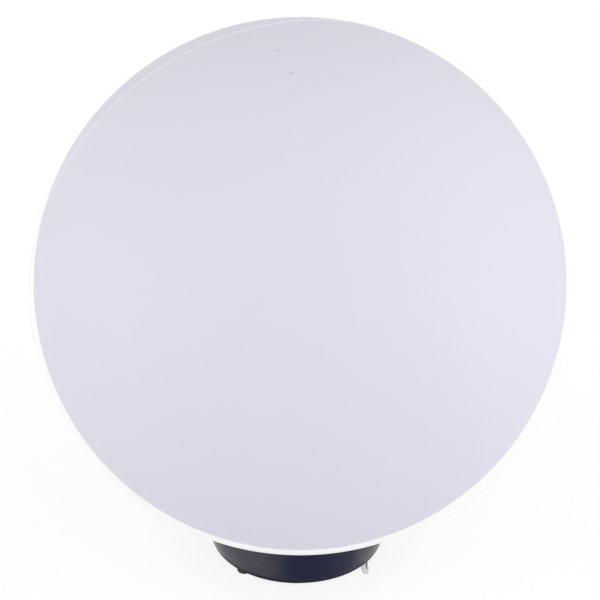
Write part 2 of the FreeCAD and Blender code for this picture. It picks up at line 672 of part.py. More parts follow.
def make_battery_tray():
    """The ring-shaped tray: floor, three cradles and the screws' ears."""
    body = new_body("battery_tray")
    raised_circles(body, "floor", "fit.plate_top", "dim.tray_floor", [("0", "0", "fit.tray_radius")])
    cut_circles(body, "middle", "fit.plate_top", "dim.tray_floor", [("0", "0", "dim.tray_bore")])
    left = "fit.cell_circle - fit.cradle_half"
    right = "fit.cell_circle + fit.cradle_half"
    inner_left = "fit.cell_circle - dim.cell_radius - dim.cell_gap"
    inner_right = "fit.cell_circle + dim.cell_radius + dim.cell_gap"
    plate_left = "fit.cell_circle - dim.contact_half"
    plate_right = "fit.cell_circle + dim.contact_half"
    front = "-fit.minus_wall_y - dim.tray_wall"
    back = "fit.plus_wall_y + dim.tray_wall"
    sides = raised_box(
        body, "cradle", "fit.plate_top", "fit.cell_z - fit.plate_top",
        box_corners(left, right, front, back))
    ends = raised_box(
        body, "end_walls", "fit.plate_top", "dim.tray_floor + dim.end_height",
        box_corners(plate_left, plate_right, front, back))
    hollow = cut_box(
        body, "hollow", "fit.tray_top", "dim.end_height",
        box_corners(inner_left, inner_right, "-fit.minus_wall_y", "fit.plus_wall_y"))
    repeat(body, "cradles", [sides, ends, hollow], CELLS)
    ear_x, ear_y = polar("fit.boss_circle", "dim.boss_turn")
    ear = raised_circles(
        body, "ear", "fit.plate_top", "dim.ear_height", [(ear_x, ear_y, "dim.boss_radius")])
    repeat(body, "ears", [ear], SCREWS)
    hole = cut_circles(
        body, "ear_hole", "fit.plate_top", "dim.ear_height",
        [(ear_x, ear_y, "dim.cover_screw_radius + dim.screw_gap")])
    repeat(body, "ear_holes", [hole], SCREWS, removes=True)
    cut_box(body, "tab_slot", "fit.plate_top", "dim.tray_floor + dim.end_height", tab_slot_corners())
    return body


def make_cell(number):
    """An AA cell, lying across its radius, nub towards the next cell."""
    body = new_body(f"battery_cell_{number}")
    can = sketch_on(body, "can_circle", "XZ_Plane")
    add_circle(can, "fit.cell_circle", "fit.cell_z", "dim.cell_radius")
    pad(body, "can", can, "dim.cell_length", both_ways=True)
    nub = sketch_on(body, "nub_circle", "XZ_Plane", lift="-fit.plus_y")
    add_circle(nub, "fit.cell_circle", "fit.cell_z", "dim.nub_radius")
    pad(body, "nub", nub, "dim.nub_length")
    turned(body, f"{(number - 1) * 360 / CELLS}")
    return body


def make_contacts_positive():
    """The flat plates at the cells' nubs."""
    body = new_body("contacts_positive")
    plate = raised_box(
        body, "plate", "fit.tray_top", "dim.contact_height",
        box_corners("fit.cell_circle - dim.contact_half", "fit.cell_circle + dim.contact_half",
                    "fit.plus_y", "fit.plus_wall_y"))
    repeat(body, "plates", [plate], CELLS)
    return body


def make_contacts_negative():
    """The plates at the cells' flat ends, each with a pressed bump."""
    body = new_body("contacts_negative")
    plate = raised_box(
        body, "plate", "fit.tray_top", "dim.contact_height",
        box_corners("fit.cell_circle - dim.contact_half", "fit.cell_circle + dim.contact_half",
                    "-fit.minus_wall_y", "-fit.minus_y"))
    round_bump = sketch_on(body, "bump_circle", "XZ_Plane", lift="fit.bump_y")
    add_circle(round_bump, "fit.cell_circle", "fit.cell_z", "dim.bump_radius")
    bump = pad(body, "bump", round_bump, "dim.bump_height")
    repeat(body, "plates", [plate, bump], CELLS)
    return body


def make_pull_tab():
    """The clear film: a tongue at the first cell and a tail on the floor."""
    body = new_body("pull_tab")
    profile = sketch_on(body, "bend_outline", "YZ_Plane", lift="fit.tab_left")
    tail_top = "dim.tab_lift + dim.film"
    add_outline(profile, (
        ("-fit.film_y", "dim.tab_lift"),
        ("-fit.film_y", "fit.tray_top + dim.tab_top"),
        ("-fit.film_y - dim.film", "fit.tray_top + dim.tab_top"),
        ("-fit.film_y - dim.film", tail_top),
        ("-fit.tab_reach", tail_top),
        ("-fit.tab_reach", "dim.tab_lift")))
    pad(body, "bend", profile, "dim.tab_width")
    cut_box(body, "taper", None, tail_top, (
        ("fit.tab_left", "-fit.film_y - 2 * dim.film"),
        ("fit.tab_right - dim.tab_neck", "-fit.tab_neck_reach"),
        ("fit.tab_right - dim.tab_end", "-fit.tab_reach"),
        ("fit.tab_left", "-fit.tab_reach")))
    return body


# ---- the push button and the control board ------------------------------

def make_power_button():
    """The push button under the base, held in by its flange."""
    body = new_body("power_button")
    face = "dim.foot_height + dim.button_sink"
    revolve(body, "button", (
        ("0", face),
        ("dim.button_radius", face),
        ("dim.button_radius", "fit.plate_top"),
        ("dim.flange_radius", "fit.plate_top"),
        ("dim.flange_radius", "fit.flange_z"),
        ("0", "fit.flange_z")))
    round_rings(body, "face_edge", "dim.button_round", [("dim.button_radius", face)])
    return body


def make_tact_switch():
    """The push switch under the control board."""
    body = new_body("tact_switch")
    half = "dim.switch_side / 2"
    corners = box_corners(f"-{half}", half, f"-{half}", half)
    raised_box(body, "case", "fit.switch_z", "dim.switch_height", corners)
    bore_top = "fit.flange_z + dim.plunger_length + dim.button_travel + dim.button_spare"
    cut_circles(body, "bore", "fit.switch_z", f"{bore_top} - fit.switch_z",
                [("0", "0", "dim.plunger_radius + dim.plunger_gap")])
    return body


def make_switch_plunger():
    """The plunger of the switch, which stands on the button."""
    body = new_body("switch_plunger")
    raised_circles(body, "rod", "fit.flange_z", "dim.plunger_length", [("0", "0", "dim.plunger_radius")])
    return body


def make_control_board():
    """The round control board on the cover's posts."""
    body = new_body("control_board")
    raised_circles(body, "disc", "fit.board_z", "dim.board_thickness", [("0", "0", "dim.board_radius")])
    x, y = polar("dim.post_offset", "dim.post_turn")
    hole = cut_circles(body, "hole", "fit.board_z", "dim.board_thickness",
                       [(x, y, "dim.small_screw_radius + dim.screw_gap")])
    repeat(body, "holes", [hole], SCREWS, removes=True)
    return body


def make_board_parts():
    """The lead connector, capacitor, coil and chip on the control board."""
    body = new_body("board_parts")
    raised_box(body, "plug", "fit.board_top", "dim.plug_height", box_corners(
        "-dim.plug_width / 2", "dim.plug_width / 2", "-dim.plug_depth / 2", "dim.plug_depth / 2"))
    raised_circles(body, "capacitor", "fit.board_top", "dim.can_height",
                   [("0", "dim.part_offset", "dim.can_radius")])
    raised_circles(body, "coil", "fit.board_top", "dim.coil_height",
                   [("-dim.part_offset", "0", "dim.coil_radius")])
    raised_box(body, "chip", "fit.board_top", "dim.chip_height", box_corners(
        "dim.part_offset - dim.chip_side / 2", "dim.part_offset + dim.chip_side / 2",
        "-dim.chip_side / 2", "dim.chip_side / 2"))
    return body


# ---- the lamp in the neck -----------------------------------------------

def make_lamp_plate():
    """The metal plate on the neck's ledge that carries the LED board."""
    body = new_body("lamp_plate")
    raised_circles(body, "disc", "fit.ledge_top", "dim.plate_thickness",
                   [("0", "0", "fit.neck_bore - dim.plate_gap")])
    cut_circles(body, "lead_hole", "fit.ledge_top", "dim.plate_thickness", [("0", "0", "dim.lead_hole")])
    x, y = polar("dim.led_screw_offset", "dim.led_screw_turn")
    hole = cut_circles(body, "hole", "fit.ledge_top", "dim.plate_thickness",
                       [(x, y, "dim.small_screw_radius")])
    repeat(body, "holes", [hole], SCREWS, removes=True)
    return body


def make_led_board():
    """The round board with the LEDs."""
    body = new_body("led_board")
    raised_circles(body, "disc", "fit.plate_z", "dim.board_thickness", [("0", "0", "dim.led_board_radius")])
    cut_circles(body, "lead_hole", "fit.plate_z", "dim.board_thickness", [("0", "0", "dim.lead_hole")])
    x, y = polar("dim.led_screw_offset", "dim.led_screw_turn")
    hole = cut_circles(body, "hole", "fit.plate_z", "dim.board_thickness",
                       [(x, y, "dim.small_screw_radius + dim.screw_gap")])
    repeat(body, "holes", [hole], SCREWS, removes=True)
    return body


def make_leds():
    """Two rings of LEDs on their board."""
    body = new_body("leds")
    half = "dim.led_side / 2"
    rings = (("inner", "dim.inner_offset", INNER_LEDS), ("outer", "dim.outer_offset", OUTER_LEDS))
    for name, circle, count in rings:
        corners = box_corners(f"{circle} - {half}", f"{circle} + {half}", f"-{half}", half)
        led = raised_box(body, f"{name}_led", "fit.led_z", "dim.led_height", corners)
        repeat(body, f"{name}_ring", [led], count)
    return body


def make_diffuser_cap():
    """The opal cap over the LEDs, pushed into the top of the neck."""
    outside = crowned_cylinder("cap_outside", "fit.cap_radius", "dim.cap_crown")
    inside = crowned_cylinder(
        "cap_inside", "fit.cap_radius - dim.cap_wall", "dim.cap_crown - dim.cap_wall")
    cap = DOC.addObject("Part::Cut", "diffuser_cap")
    cap.Label = "diffuser_cap"
    cap.Base = outside
    cap.Tool = inside
    DOC.recompute()
    return cap


def crowned_cylinder(name, radius, crown):
    """A cylinder on the lamp plate, topped by a sphere about one centre."""
    wall = DOC.addObject("Part::Cylinder", f"{name}_wall")
    wall.setExpression("Radius", radius)
    wall.setExpression("Height", "dim.cap_crown")
    wall.setExpression("Placement.Base.z", "fit.plate_z")
    dome = DOC.addObject("Part::Sphere", f"{name}_dome")
    dome.setExpression("Radius", crown)
    dome.setExpression("Placement.Base.z", "fit.cap_top - dim.cap_crown")
    both = DOC.addObject("Part::Common", name)
    both.Base = wall
    both.Tool = dome
    return both


def make_lead(label, turn):
    """A lead: up from the connector, round a bend, onto the LED board."""
    wire_z = "fit.led_z + dim.lead_radius"
    upright = DOC.addObject("Part::Cylinder", f"{label}_upright")
    upright.setExpression("Radius", "dim.lead_radius")
    upright.setExpression("Height", f"{wire_z} - dim.lead_bend - fit.plug_top")
    upright.setExpression("Placement.Base.x", "dim.lead_offset")
    upright.setExpression("Placement.Base.z", "fit.plug_top")
    bend = DOC.addObject("Part::Torus", f"{label}_bend")
    bend.setExpression("Radius1", "dim.lead_bend")
    bend.setExpression("Radius2", "dim.lead_radius")
    bend.Angle3 = 90
    bend.Placement = spun(X_AXIS, 90) * spun(Z_AXIS, 90)
    bend.setExpression("Placement.Base.x", "dim.lead_offset + dim.lead_bend")
    bend.setExpression("Placement.Base.z", f"{wire_z} - dim.lead_bend")
    end = DOC.addObject("Part::Cylinder", f"{label}_end")
    end.Placement = spun(Y_AXIS, 90)
    end.setExpression("Radius", "dim.lead_radius")
    end.setExpression("Height", "dim.lead_run")
    end.setExpression("Placement.Base.x", "dim.lead_offset + dim.lead_bend")
    end.setExpression("Placement.Base.z", wire_z)
    lead = DOC.addObject("Part::MultiFuse", label)
    lead.Label = label
    lead.Shapes = [upright, bend, end]
    turned(lead, turn)
    DOC.recompute()
    return lead


def make_everything():
    """Every sub-part, from the globe down and then into the base."""
    parts = [make_globe_shell(), make_seal_ring(), make_base_collar()]
    parts += [make_bottom_cover(), make_cover_seal()]
    parts += [make_foot(number) for number in range(1, FEET + 1)]
    parts.append(make_screws(
        "cover_screws", "fit.boss_circle", "dim.boss_turn", "(dim.foot_height + dim.cover_screw_sink)",
        "dim.cover_screw_radius", "dim.cover_screw_head", "dim.cover_screw_sink", "dim.cover_screw_length",
        upward=True))
    parts.append(make_battery_tray())
    parts += [make_cell(number) for number in range(1, CELLS + 1)]
    parts += [make_contacts_positive(), make_contacts_negative(), make_pull_tab()]
    parts += [make_power_button(), make_tact_switch(), make_switch_plunger()]
    parts += [make_control_board(), make_board_parts()]
    parts.append(make_screws(
        "board_screws", "dim.post_offset", "dim.post_turn", "fit.board_top", "dim.small_screw_radius",
        "dim.small_screw_head", "dim.small_head_height", "dim.small_screw_length", upward=False))
    parts += [make_lamp_plate(), make_led_board(), make_leds()]
    parts.append(make_screws(
        "led_screws", "dim.led_screw_offset", "dim.led_screw_turn", "fit.led_z", "dim.small_screw_radius",
        "dim.small_screw_head", "dim.small_head_height", "dim.led_screw_length", upward=False))
    parts.append(make_diffuser_cap())
    parts += [make_lead("lead_red", "0"), make_lead("lead_black", "180")]
    return parts


def check_objects(parts):
    """Stop if any object failed or any sub-part has no valid shape."""
    for item in DOC.Objects:
        if "Invalid" in item.State or "Error" in item.State:
            raise RuntimeError(f"{item.Name} is {item.State}")
    for part in parts:
        if part.Shape.isNull() or not part.Shape.isValid() or not part.Shape.Solids:
            raise RuntimeError(f"{part.Label} has no valid shape")


DOC = FreeCAD.newDocument("garden_globe_light")
fill_sheet(DOC.addObject("Spreadsheet::Sheet", "dim"))
DOC.recompute()
fill_following(DOC.addObject("App::VarSet", "fit"))
PROBE = DOC.addObject("App::VarSet", "probe")
PROBE.addProperty("App::PropertyFloat", "reading")
DOC.recompute()

PARTS = make_everything()
DOC.recompute()
check_objects(PARTS)
os.makedirs("parts", exist_ok=True)
for made in PARTS:
    made.Shape.exportStep(f"parts/{made.Label}.step")
    print(f"{made.Label}: {len(made.Shape.Solids)} solid(s), {made.Shape.Volume / 1000:.2f} cm3")
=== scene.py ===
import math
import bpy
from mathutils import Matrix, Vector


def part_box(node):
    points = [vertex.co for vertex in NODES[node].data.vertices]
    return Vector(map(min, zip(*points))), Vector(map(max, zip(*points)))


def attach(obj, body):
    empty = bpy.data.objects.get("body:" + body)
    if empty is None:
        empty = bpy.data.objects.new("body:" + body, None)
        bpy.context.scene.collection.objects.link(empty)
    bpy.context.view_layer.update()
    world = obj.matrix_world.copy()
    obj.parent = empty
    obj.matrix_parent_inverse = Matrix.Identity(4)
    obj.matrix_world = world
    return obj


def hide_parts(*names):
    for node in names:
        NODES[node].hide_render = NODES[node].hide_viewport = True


bl_info = {
    "name": "Garden Globe Light",
    "version": (1, 0, 0),
    "blender": (4, 5, 0),
    "location": "3D View > Sidebar > Globe Light",
    "description": "Dresses a garden globe light with its finishes and sets it on a plain stage",
    "category": "Object",
}

import bmesh
import bpy
from mathutils import Matrix, Vector

# Metres, +Z up, the floor at Z = 0, the globe's axis on the Z axis, the front
# towards -Y. Profiles and outlines are written in millimetres.

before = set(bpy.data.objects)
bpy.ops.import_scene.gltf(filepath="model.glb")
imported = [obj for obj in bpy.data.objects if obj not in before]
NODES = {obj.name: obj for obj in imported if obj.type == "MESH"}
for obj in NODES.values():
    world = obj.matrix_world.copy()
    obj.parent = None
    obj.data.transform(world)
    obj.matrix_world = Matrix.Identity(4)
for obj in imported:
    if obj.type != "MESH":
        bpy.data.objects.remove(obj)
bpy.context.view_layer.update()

MM = 0.001
FULL_TURN = 2 * math.pi
WHITE = (1.0, 1.0, 1.0, 1.0)

# heights above the floor: the globe's top, and the parting between collar and cover
GLOBE_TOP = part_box("globe_shell")[1].z
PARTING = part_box("base_collar")[0].z


# ---- sizes and colours ----

def length(name, description, default):
    """A length in metres for a property group."""
    return bpy.props.FloatProperty(
        name=name, description=description, default=default, min=0.0, max=1.0,
        precision=5, subtype="DISTANCE", unit="LENGTH")


def turn(name, description, degrees):
    """An angle for a property group."""
    return bpy.props.FloatProperty(
        name=name, description=description, default=math.radians(degrees),
        subtype="ANGLE", unit="ROTATION")


def share(name, description, default, high=1.0):
    """A plain number from nothing up to high for a property group."""
    return bpy.props.FloatProperty(
        name=name, description=description, default=default, min=0.0, max=high, precision=4)


def colour(name, description, red, green, blue):
    """A colour for a property group."""
    return bpy.props.FloatVectorProperty(
        name=name, description=description, default=(red, green, blue), size=3,
        min=0.0, max=1.0, subtype="COLOR")


class GlobeLightSizes(bpy.types.PropertyGroup):
    """Sizes of the pieces that are built here"""

    globe_radius: length("Globe radius", "Outer radius of the globe", 0.2)
    globe_wall: length("Globe wall", "Wall of the globe", 0.003)
    mouth_radius: length("Mouth radius", "Bore of the globe's mouth tube", 0.06)
    mouth_wall: length("Mouth wall", "Wall of the mouth tube", 0.003)
    mouth_top: length("Mouth top", "Floor to the top of the mouth tube", 0.057)
    seam_width: length("Seam width", "Width of the mould seam's bead", 0.0008)
    seam_proud: length("Seam height", "Height of the bead above the globe", 0.0003)
    seam_end: length("Seam end", "Floor to where the bead fades out", 0.05)
    seam_turn: turn("Seam turn", "Turn of the seam's plane from the front", 16.1)
    seam_lean: turn("Seam lean", "Lean of the seam's top towards the front", 3.8)
    film: length("Film", "Thickness of the film tab", 0.0002)
    led_side: length("LED side", "Side of an LED", 0.005)


class GlobeLightColours(bpy.types.PropertyGroup):
    """Colours of the finishes"""

    globe: colour("Globe", "Moulded globe", 0.712, 0.700, 0.795)
    # painted highlight: the seam bead's paler tone stands for the light it catches
    seam: colour("Seam", "Painted highlight on the globe's seam bead", 0.95, 0.94, 0.97)
    speck: colour("Specks", "Tiny marks in the globe's skin", 0.36, 0.36, 0.40)
    black: colour("Collar", "Black plastic of the collar", 0.004, 0.008, 0.034)
    # painted reflection: the paler tone of the collar's left and right
    painted_reflection: colour("Painted reflection", "Painted reflection on the collar", 0.062, 0.061, 0.080)
    # painted highlight: the pale line along the collar's lower edge
    edge_highlight: colour("Painted edge highlight", "Lower edge of the collar", 0.045, 0.048, 0.062)
    cover: colour("Cover", "Black plastic of the cover and the tray", 0.009, 0.012, 0.028)
    worn: colour("Worn plastic", "Worn edges of the black plastic", 0.03, 0.034, 0.05)
    silicone: colour("Silicone", "Seal ring and gasket", 0.80, 0.80, 0.78)
    rubber: colour("Rubber", "Feet and push button", 0.014, 0.014, 0.017)
    film: colour("Film", "Clear film tab", 0.96, 0.97, 0.96)
    # painted shade: the dark line down the film, for the shade of a crease
    crease_shade: colour("Crease shade", "Painted shade of a fold down the film", 0.03, 0.035, 0.035)
    steel: colour("Steel", "Screws", 0.52, 0.52, 0.50)
    jacket: colour("Cell jacket", "Jackets of the cells", 0.05, 0.11, 0.20)
    mask: colour("Solder mask", "Control board", 0.010, 0.085, 0.035)
    phosphor: colour("Phosphor", "Faces of the LEDs", 0.86, 0.66, 0.12)


class GlobeLightStage(bpy.types.PropertyGroup):
    """Stage, light and camera"""

    backdrop: share("Backdrop", "Level of the white that the camera sees", 0.991)
    shadow: share("Shadow", "How much of its shadow the floor shows", 0.20)
    mirrored: share("Mirrored shadow", "How much of it gloss and metal show", 0.50)
    floor_white: share("Floor white", "Level of the white that the floor gives", 1.055, 4.0)
    sky: share("Sky", "Level of the light from all round", 0.97, 4.0)
    right: share("Right side", "How much brighter the right side is", 0.58, 4.0)
    left: share("Left side", "How much brighter the left side is", 0.32, 4.0)
    lens: bpy.props.FloatProperty(
        name="Lens", description="Focal length of the camera in millimetres", default=70.902)
    camera_back: length("Camera back", "How far the camera stands in front of the axis", 0.82413)
    camera_up: length("Camera up", "Height of the camera", 0.56875)
    camera_pitch: turn("Camera pitch", "How far the camera looks down", 23.3624)
    camera_roll: turn("Camera roll", "Lean of the camera", 0.8059)


# ---- shared shader groups ----

class Nodes:
    """Adds nodes and links to a node tree."""

    def __init__(self, tree):
        self.tree = tree

    def add(self, kind, **settings):
        """A new node with its settings."""
        node = self.tree.nodes.new(kind)
        for name, setting in settings.items():
            setattr(node, name, setting)
        return node

    def link(self, source, target):
        """A link from an output to an input."""
        self.tree.links.new(source, target)

    def feed(self, target, source):
        """Link an output, or write a plain value, into an input."""
        if isinstance(source, bpy.types.NodeSocket):
            self.link(source, target)
        else:
            target.default_value = source

    def math(self, operation, first, second=0.0):
        """A Math node's output."""
        node = self.add("ShaderNodeMath", operation=operation)
        self.feed(node.inputs[0], first)
        self.feed(node.inputs[1], second)
        return node.outputs[0]

    def times(self, first, second):
        """The product of two values."""
        return self.math("MULTIPLY", first, second)

    def vector(self, operation, first, second):
        """A Vector Math node's outputs."""
        node = self.add("ShaderNodeVectorMath", operation=operation)
        self.feed(node.inputs[0], first)
        self.feed(node.inputs[1], second)
        return node.outputs

    def axes(self, place):
        """The X, Y and Z of a place."""
        node = self.add("ShaderNodeSeparateXYZ")
        self.link(place, node.inputs[0])
        return node.outputs

    def swing(self, source):
        """A value from 0 to 1 made one from -1 to 1."""
        return self.math("SUBTRACT", self.times(source, 2.0), 1.0)

    def spread(self, source, low, high, to_low=0.0, to_high=1.0):
        """A smooth step from one value to another while the source goes from low to high."""
        node = self.add("ShaderNodeMapRange", interpolation_type="SMOOTHSTEP")
        for name, number in (
                ("Value", source), ("From Min", low), ("From Max", high),
                ("To Min", to_low), ("To Max", to_high)):
            self.feed(node.inputs[name], number)
        return node.outputs["Result"]

    def mix(self, factor, first, second):
        """A colour between two colours."""
        node = self.add("ShaderNodeMix", data_type="RGBA")
        self.feed(node.inputs["Factor"], factor)
        self.feed(node.inputs["A"], first)
        self.feed(node.inputs["B"], second)
        return node.outputs["Result"]

    def mix_shader(self, factor, first, second):
        """The output of a Mix Shader between two shader nodes."""
        node = self.add("ShaderNodeMixShader")
        self.link(factor, node.inputs["Fac"])
        self.link(first.outputs[0], node.inputs[1])
        self.link(second.outputs[0], node.inputs[2])
        return node.outputs[0]

    def noise(self, place, scale, detail, roughness):
        """A Noise Texture's output."""
        node = self.add("ShaderNodeTexNoise")
        self.link(place, node.inputs["Vector"])
        self.feed(node.inputs["Scale"], scale)
        node.inputs["Detail"].default_value = detail
        node.inputs["Roughness"].default_value = roughness
        return node.outputs["Fac"]

    def place(self):
        """Object coordinates, which move with the piece."""
        return self.add("ShaderNodeTexCoord").outputs["Object"]


def shader_group(name, inputs, outputs):
    """A new shader group with named inputs and outputs, and its two end nodes."""
    tree = bpy.data.node_groups.new(name, "ShaderNodeTree")
    for label, kind, default in inputs:
        socket = tree.interface.new_socket(name=label, in_out="INPUT", socket_type=kind)
        socket.default_value = default
    for label, kind in outputs:
        tree.interface.new_socket(name=label, in_out="OUTPUT", socket_type=kind)
    nodes = Nodes(tree)
    start = nodes.add("NodeGroupInput")
    end = nodes.add("NodeGroupOutput")
    return nodes, start.outputs, end.inputs


def tone_drift_group():
    """Slow changes of tone, as pigment and handling leave in plastic and paint."""
    nodes, given, result = shader_group("Tone drift", (
        ("Colour", "NodeSocketColor", (0.5, 0.5, 0.5, 1.0)),
        ("Amount", "NodeSocketFloat", 0.05),
        ("Scale", "NodeSocketFloat", 20.0),
    ), (("Colour", "NodeSocketColor"),))
    cloud = nodes.swing(nodes.noise(nodes.place(), given["Scale"], 3.0, 0.55))
    gain = nodes.math("ADD", nodes.times(cloud, given["Amount"]), 1.0)
    scaled = nodes.add("ShaderNodeVectorMath", operation="SCALE")
    nodes.link(given["Colour"], scaled.inputs[0])
    nodes.link(gain, scaled.inputs["Scale"])
    nodes.link(scaled.outputs[0], result["Colour"])
    return nodes.tree


def mould_grain_group():
    """The fine skin of a moulded or cast surface: a height and a roughness."""
    nodes, given, result = shader_group("Mould grain", (
        ("Scale", "NodeSocketFloat", 1500.0),
        ("Roughness", "NodeSocketFloat", 0.4),
        ("Swing", "NodeSocketFloat", 0.08),
    ), (("Height", "NodeSocketFloat"), ("Roughness", "NodeSocketFloat")))
    broad_scale, fine_share, broad_share = 0.03, 0.7, 0.3
    place = nodes.place()
    fine = nodes.noise(place, given["Scale"], 2.0, 0.6)
    broad = nodes.noise(place, nodes.times(given["Scale"], broad_scale), 3.0, 0.5)
    height = nodes.math("ADD", nodes.times(fine, fine_share), nodes.times(broad, broad_share))
    swing = nodes.times(nodes.swing(broad), given["Swing"])
    rough = nodes.math("ADD", given["Roughness"], swing)
    nodes.link(height, result["Height"])
    nodes.link(rough, result["Roughness"])
    return nodes.tree


def edge_wear_group():
    """A mask of the worn edges of a piece, broken up by noise."""
    nodes, given, result = shader_group("Edge wear", (
        ("Width", "NodeSocketFloat", 0.0003),
        ("Breakup", "NodeSocketFloat", 300.0),
    ), (("Mask", "NodeSocketFloat"),))
    bevel = nodes.add("ShaderNodeBevel", samples=4)
    nodes.link(given["Width"], bevel.inputs["Radius"])
    plain = nodes.add("ShaderNodeNewGeometry")
    # wear begins and is full where the rounded normal leans this far off the plain one
    begins, full = 0.97, 0.80
    bend = nodes.vector("DOT_PRODUCT", bevel.outputs["Normal"], plain.outputs["Normal"])
    edge = nodes.spread(bend["Value"], begins, full)
    patches = nodes.spread(nodes.noise(nodes.place(), given["Breakup"], 3.0, 0.6), 0.42, 0.62)
    nodes.link(nodes.times(edge, patches), result["Mask"])
    return nodes.tree


GROUP_MAKERS = {
    "Tone drift": tone_drift_group,
    "Mould grain": mould_grain_group,
    "Edge wear": edge_wear_group,
}


def use_group(nodes, name, **inputs):
    """The outputs of a shared group's node with its own values."""
    tree = bpy.data.node_groups.get(name) or GROUP_MAKERS[name]()
    node = nodes.add("ShaderNodeGroup", node_tree=tree)
    for label, source in inputs.items():
        nodes.feed(node.inputs[label], source)
    return node.outputs


# ---- finishes ----

# for every moulded finish: scale of the tone drift, swing of the roughness, worn edges
DRIFT_SCALE = 30.0
ROUGHNESS_SWING = 0.25
WEAR_WIDTH, WEAR_BREAKUP, WEAR_SHOWN = 0.0004, 400.0, 0.6


def new_finish(name):
    """A material with only its shader and output, and their node helper."""
    finish = bpy.data.materials.new(name)
    finish.use_nodes = True
    nodes = Nodes(finish.node_tree)
    shader = finish.node_tree.nodes["Principled BSDF"]
    return finish, nodes, shader


def opaque(tone):
    """A colour with its alpha."""
    return (*tone, 1.0)


def reopen(finish):
    """The node helper, the shader and the present colour of a finish."""
    shader = finish.node_tree.nodes["Principled BSDF"]
    return Nodes(finish.node_tree), shader, shader.inputs["Base Color"].links[0].from_socket


def feed_shader(nodes, shader, surface, height, roughness, depth, strength=1.0):
    """Give the shader its colour, its roughness and a bump whose depth is in millimetres."""
    bump = nodes.add("ShaderNodeBump")
    bump.inputs["Strength"].default_value = strength
    bump.inputs["Distance"].default_value = depth * MM
    nodes.link(height, bump.inputs["Height"])
    nodes.link(bump.outputs["Normal"], shader.inputs["Normal"])
    nodes.link(surface, shader.inputs["Base Color"])
    nodes.link(roughness, shader.inputs["Roughness"])


def moulded_finish(name, tone, roughness, grain=1500.0, depth=0.01, drift=0.06, wear=None, **fixed):
    """A finish from the shared groups; fixed values go straight to the shader."""
    finish, nodes, shader = new_finish(name)
    drifted = use_group(nodes, "Tone drift", Colour=opaque(tone), Amount=drift, Scale=DRIFT_SCALE)
    skin = use_group(
        nodes, "Mould grain", Scale=grain, Roughness=roughness, Swing=ROUGHNESS_SWING * roughness)
    surface = drifted["Colour"]
    if wear is not None:
        worn = use_group(nodes, "Edge wear", Width=WEAR_WIDTH, Breakup=WEAR_BREAKUP)
        surface = nodes.mix(nodes.times(worn["Mask"], WEAR_SHOWN), surface, opaque(wear))
    feed_shader(nodes, shader, surface, skin["Height"], skin["Roughness"], depth)
    for socket, number in fixed.items():
        shader.inputs[socket.replace("_", " ")].default_value = number
    return finish


def dress(finish, *names):
    """Give CAD nodes their finish."""
    for name in names:
        for slot in NODES[name].material_slots:
            slot.material = finish


# ---- mesh helpers ----

def on_circle(radius, angle, level=0.0):
    """A point of a level circle about the Z axis."""
    return (radius * math.cos(angle), radius * math.sin(angle), level)


def mesh_object(name, corners, faces, finishes):
    """A new object from corners and faces, with its finishes."""
    mesh = bpy.data.meshes.new(name)
    mesh.from_pydata(corners, [], faces)
    mesh.validate()
    for finish in finishes:
        mesh.materials.append(finish)
    piece = bpy.data.objects.new(name, mesh)
    bpy.context.scene.collection.objects.link(piece)
    return piece


def smooth(mesh):
    """Shade every face smooth."""
    mesh.polygons.foreach_set("use_smooth", [True] * len(mesh.polygons))


def add_piece(piece, body, slot, *nodes):
    """Set a finished piece in the frame: its body and the nodes it stands for; the slot is not
    used.
    """
    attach(piece, body)
    if nodes:
        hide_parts(*nodes)
    return piece


def shade_by_angle(piece, degrees=35.0):
    """Smooth shading that keeps edges sharper than an angle."""
    mesh = piece.data
    smooth(mesh)
    solid = bmesh.new()
    solid.from_mesh(mesh)
    for edge in solid.edges:
        edge.smooth = len(edge.link_faces) == 2 and edge.calc_face_angle() < math.radians(degrees)
    solid.to_mesh(mesh)
    solid.free()


def lathe(profile, sides, material_of=lambda index: 0):
    """Corners, faces and material numbers of a profile of (radius, height) turned about Z."""
    corners, faces, numbers, rings = [], [], [], []
    for radius, height in profile:
        count = sides if radius > 0 else 1
        first = len(corners)
        corners += [on_circle(radius, FULL_TURN * step / sides, height) for step in range(count)]
        rings.append((first, count))
    for index, (low, high) in enumerate(zip(rings, rings[1:])):
        for step in range(sides):
            after = (step + 1) % sides
            pair_low = (low[0] + step % low[1], low[0] + after % low[1])
            pair_high = (high[0] + after % high[1], high[0] + step % high[1])
            face = tuple(dict.fromkeys(pair_low + pair_high))
            if len(face) > 2:
                faces.append(face)
                numbers.append(material_of(index))
    return corners, faces, numbers


# ---- the globe ----

# rows of corners beside the seam, in half widths of its bead, and plain columns between them
SEAM_ROWS = (-6, -3, -1.6, -1.1, -0.8, -0.5, -0.2, 0.2, 0.5, 0.8, 1.1, 1.6, 3, 6)
PLAIN_COLUMNS = 118
# rings as angles down from the top: four close ones, then even steps that stop short of the mouth
TOP_TILTS = (0.016, 0.028, 0.05, 0.08)
FIRST_TILT, TILT_STEP, LAST_GAP = 0.11, 0.0262, 0.01
# the angle over which the rings stop leaning with the seam, before the mouth
LEVEL_OUT = 0.165
# the bead's foot in half widths, and the height over which it fades out at its end
BEAD_FOOT, BEAD_FADE = 1.1, 0.004
MOUTH_ROUNDING = 0.0005
# the twist lock: how far its cutters reach in and out from the bore, the slots' lower and upper
# edge, the entries' lower end and half width, the first lug's place, the turn to free, the lugs
CUT_IN, CUT_OUT = 0.003, 0.006
SLOT_LOW, SLOT_HIGH = 0.0477, 0.0523
ENTRY_LOW, ENTRY_HALF = 0.03, 0.0043
FIRST_LUG, LOCK_TURN, LUGS = 60.0, 18.0, 3
# two tiny marks in the skin: directions from the globe's centre, and their radius
SPECKS = ((-0.0367, -0.434, 0.900), (-0.0836, -0.317, 0.945))
SPECK_RADIUS = 0.0011
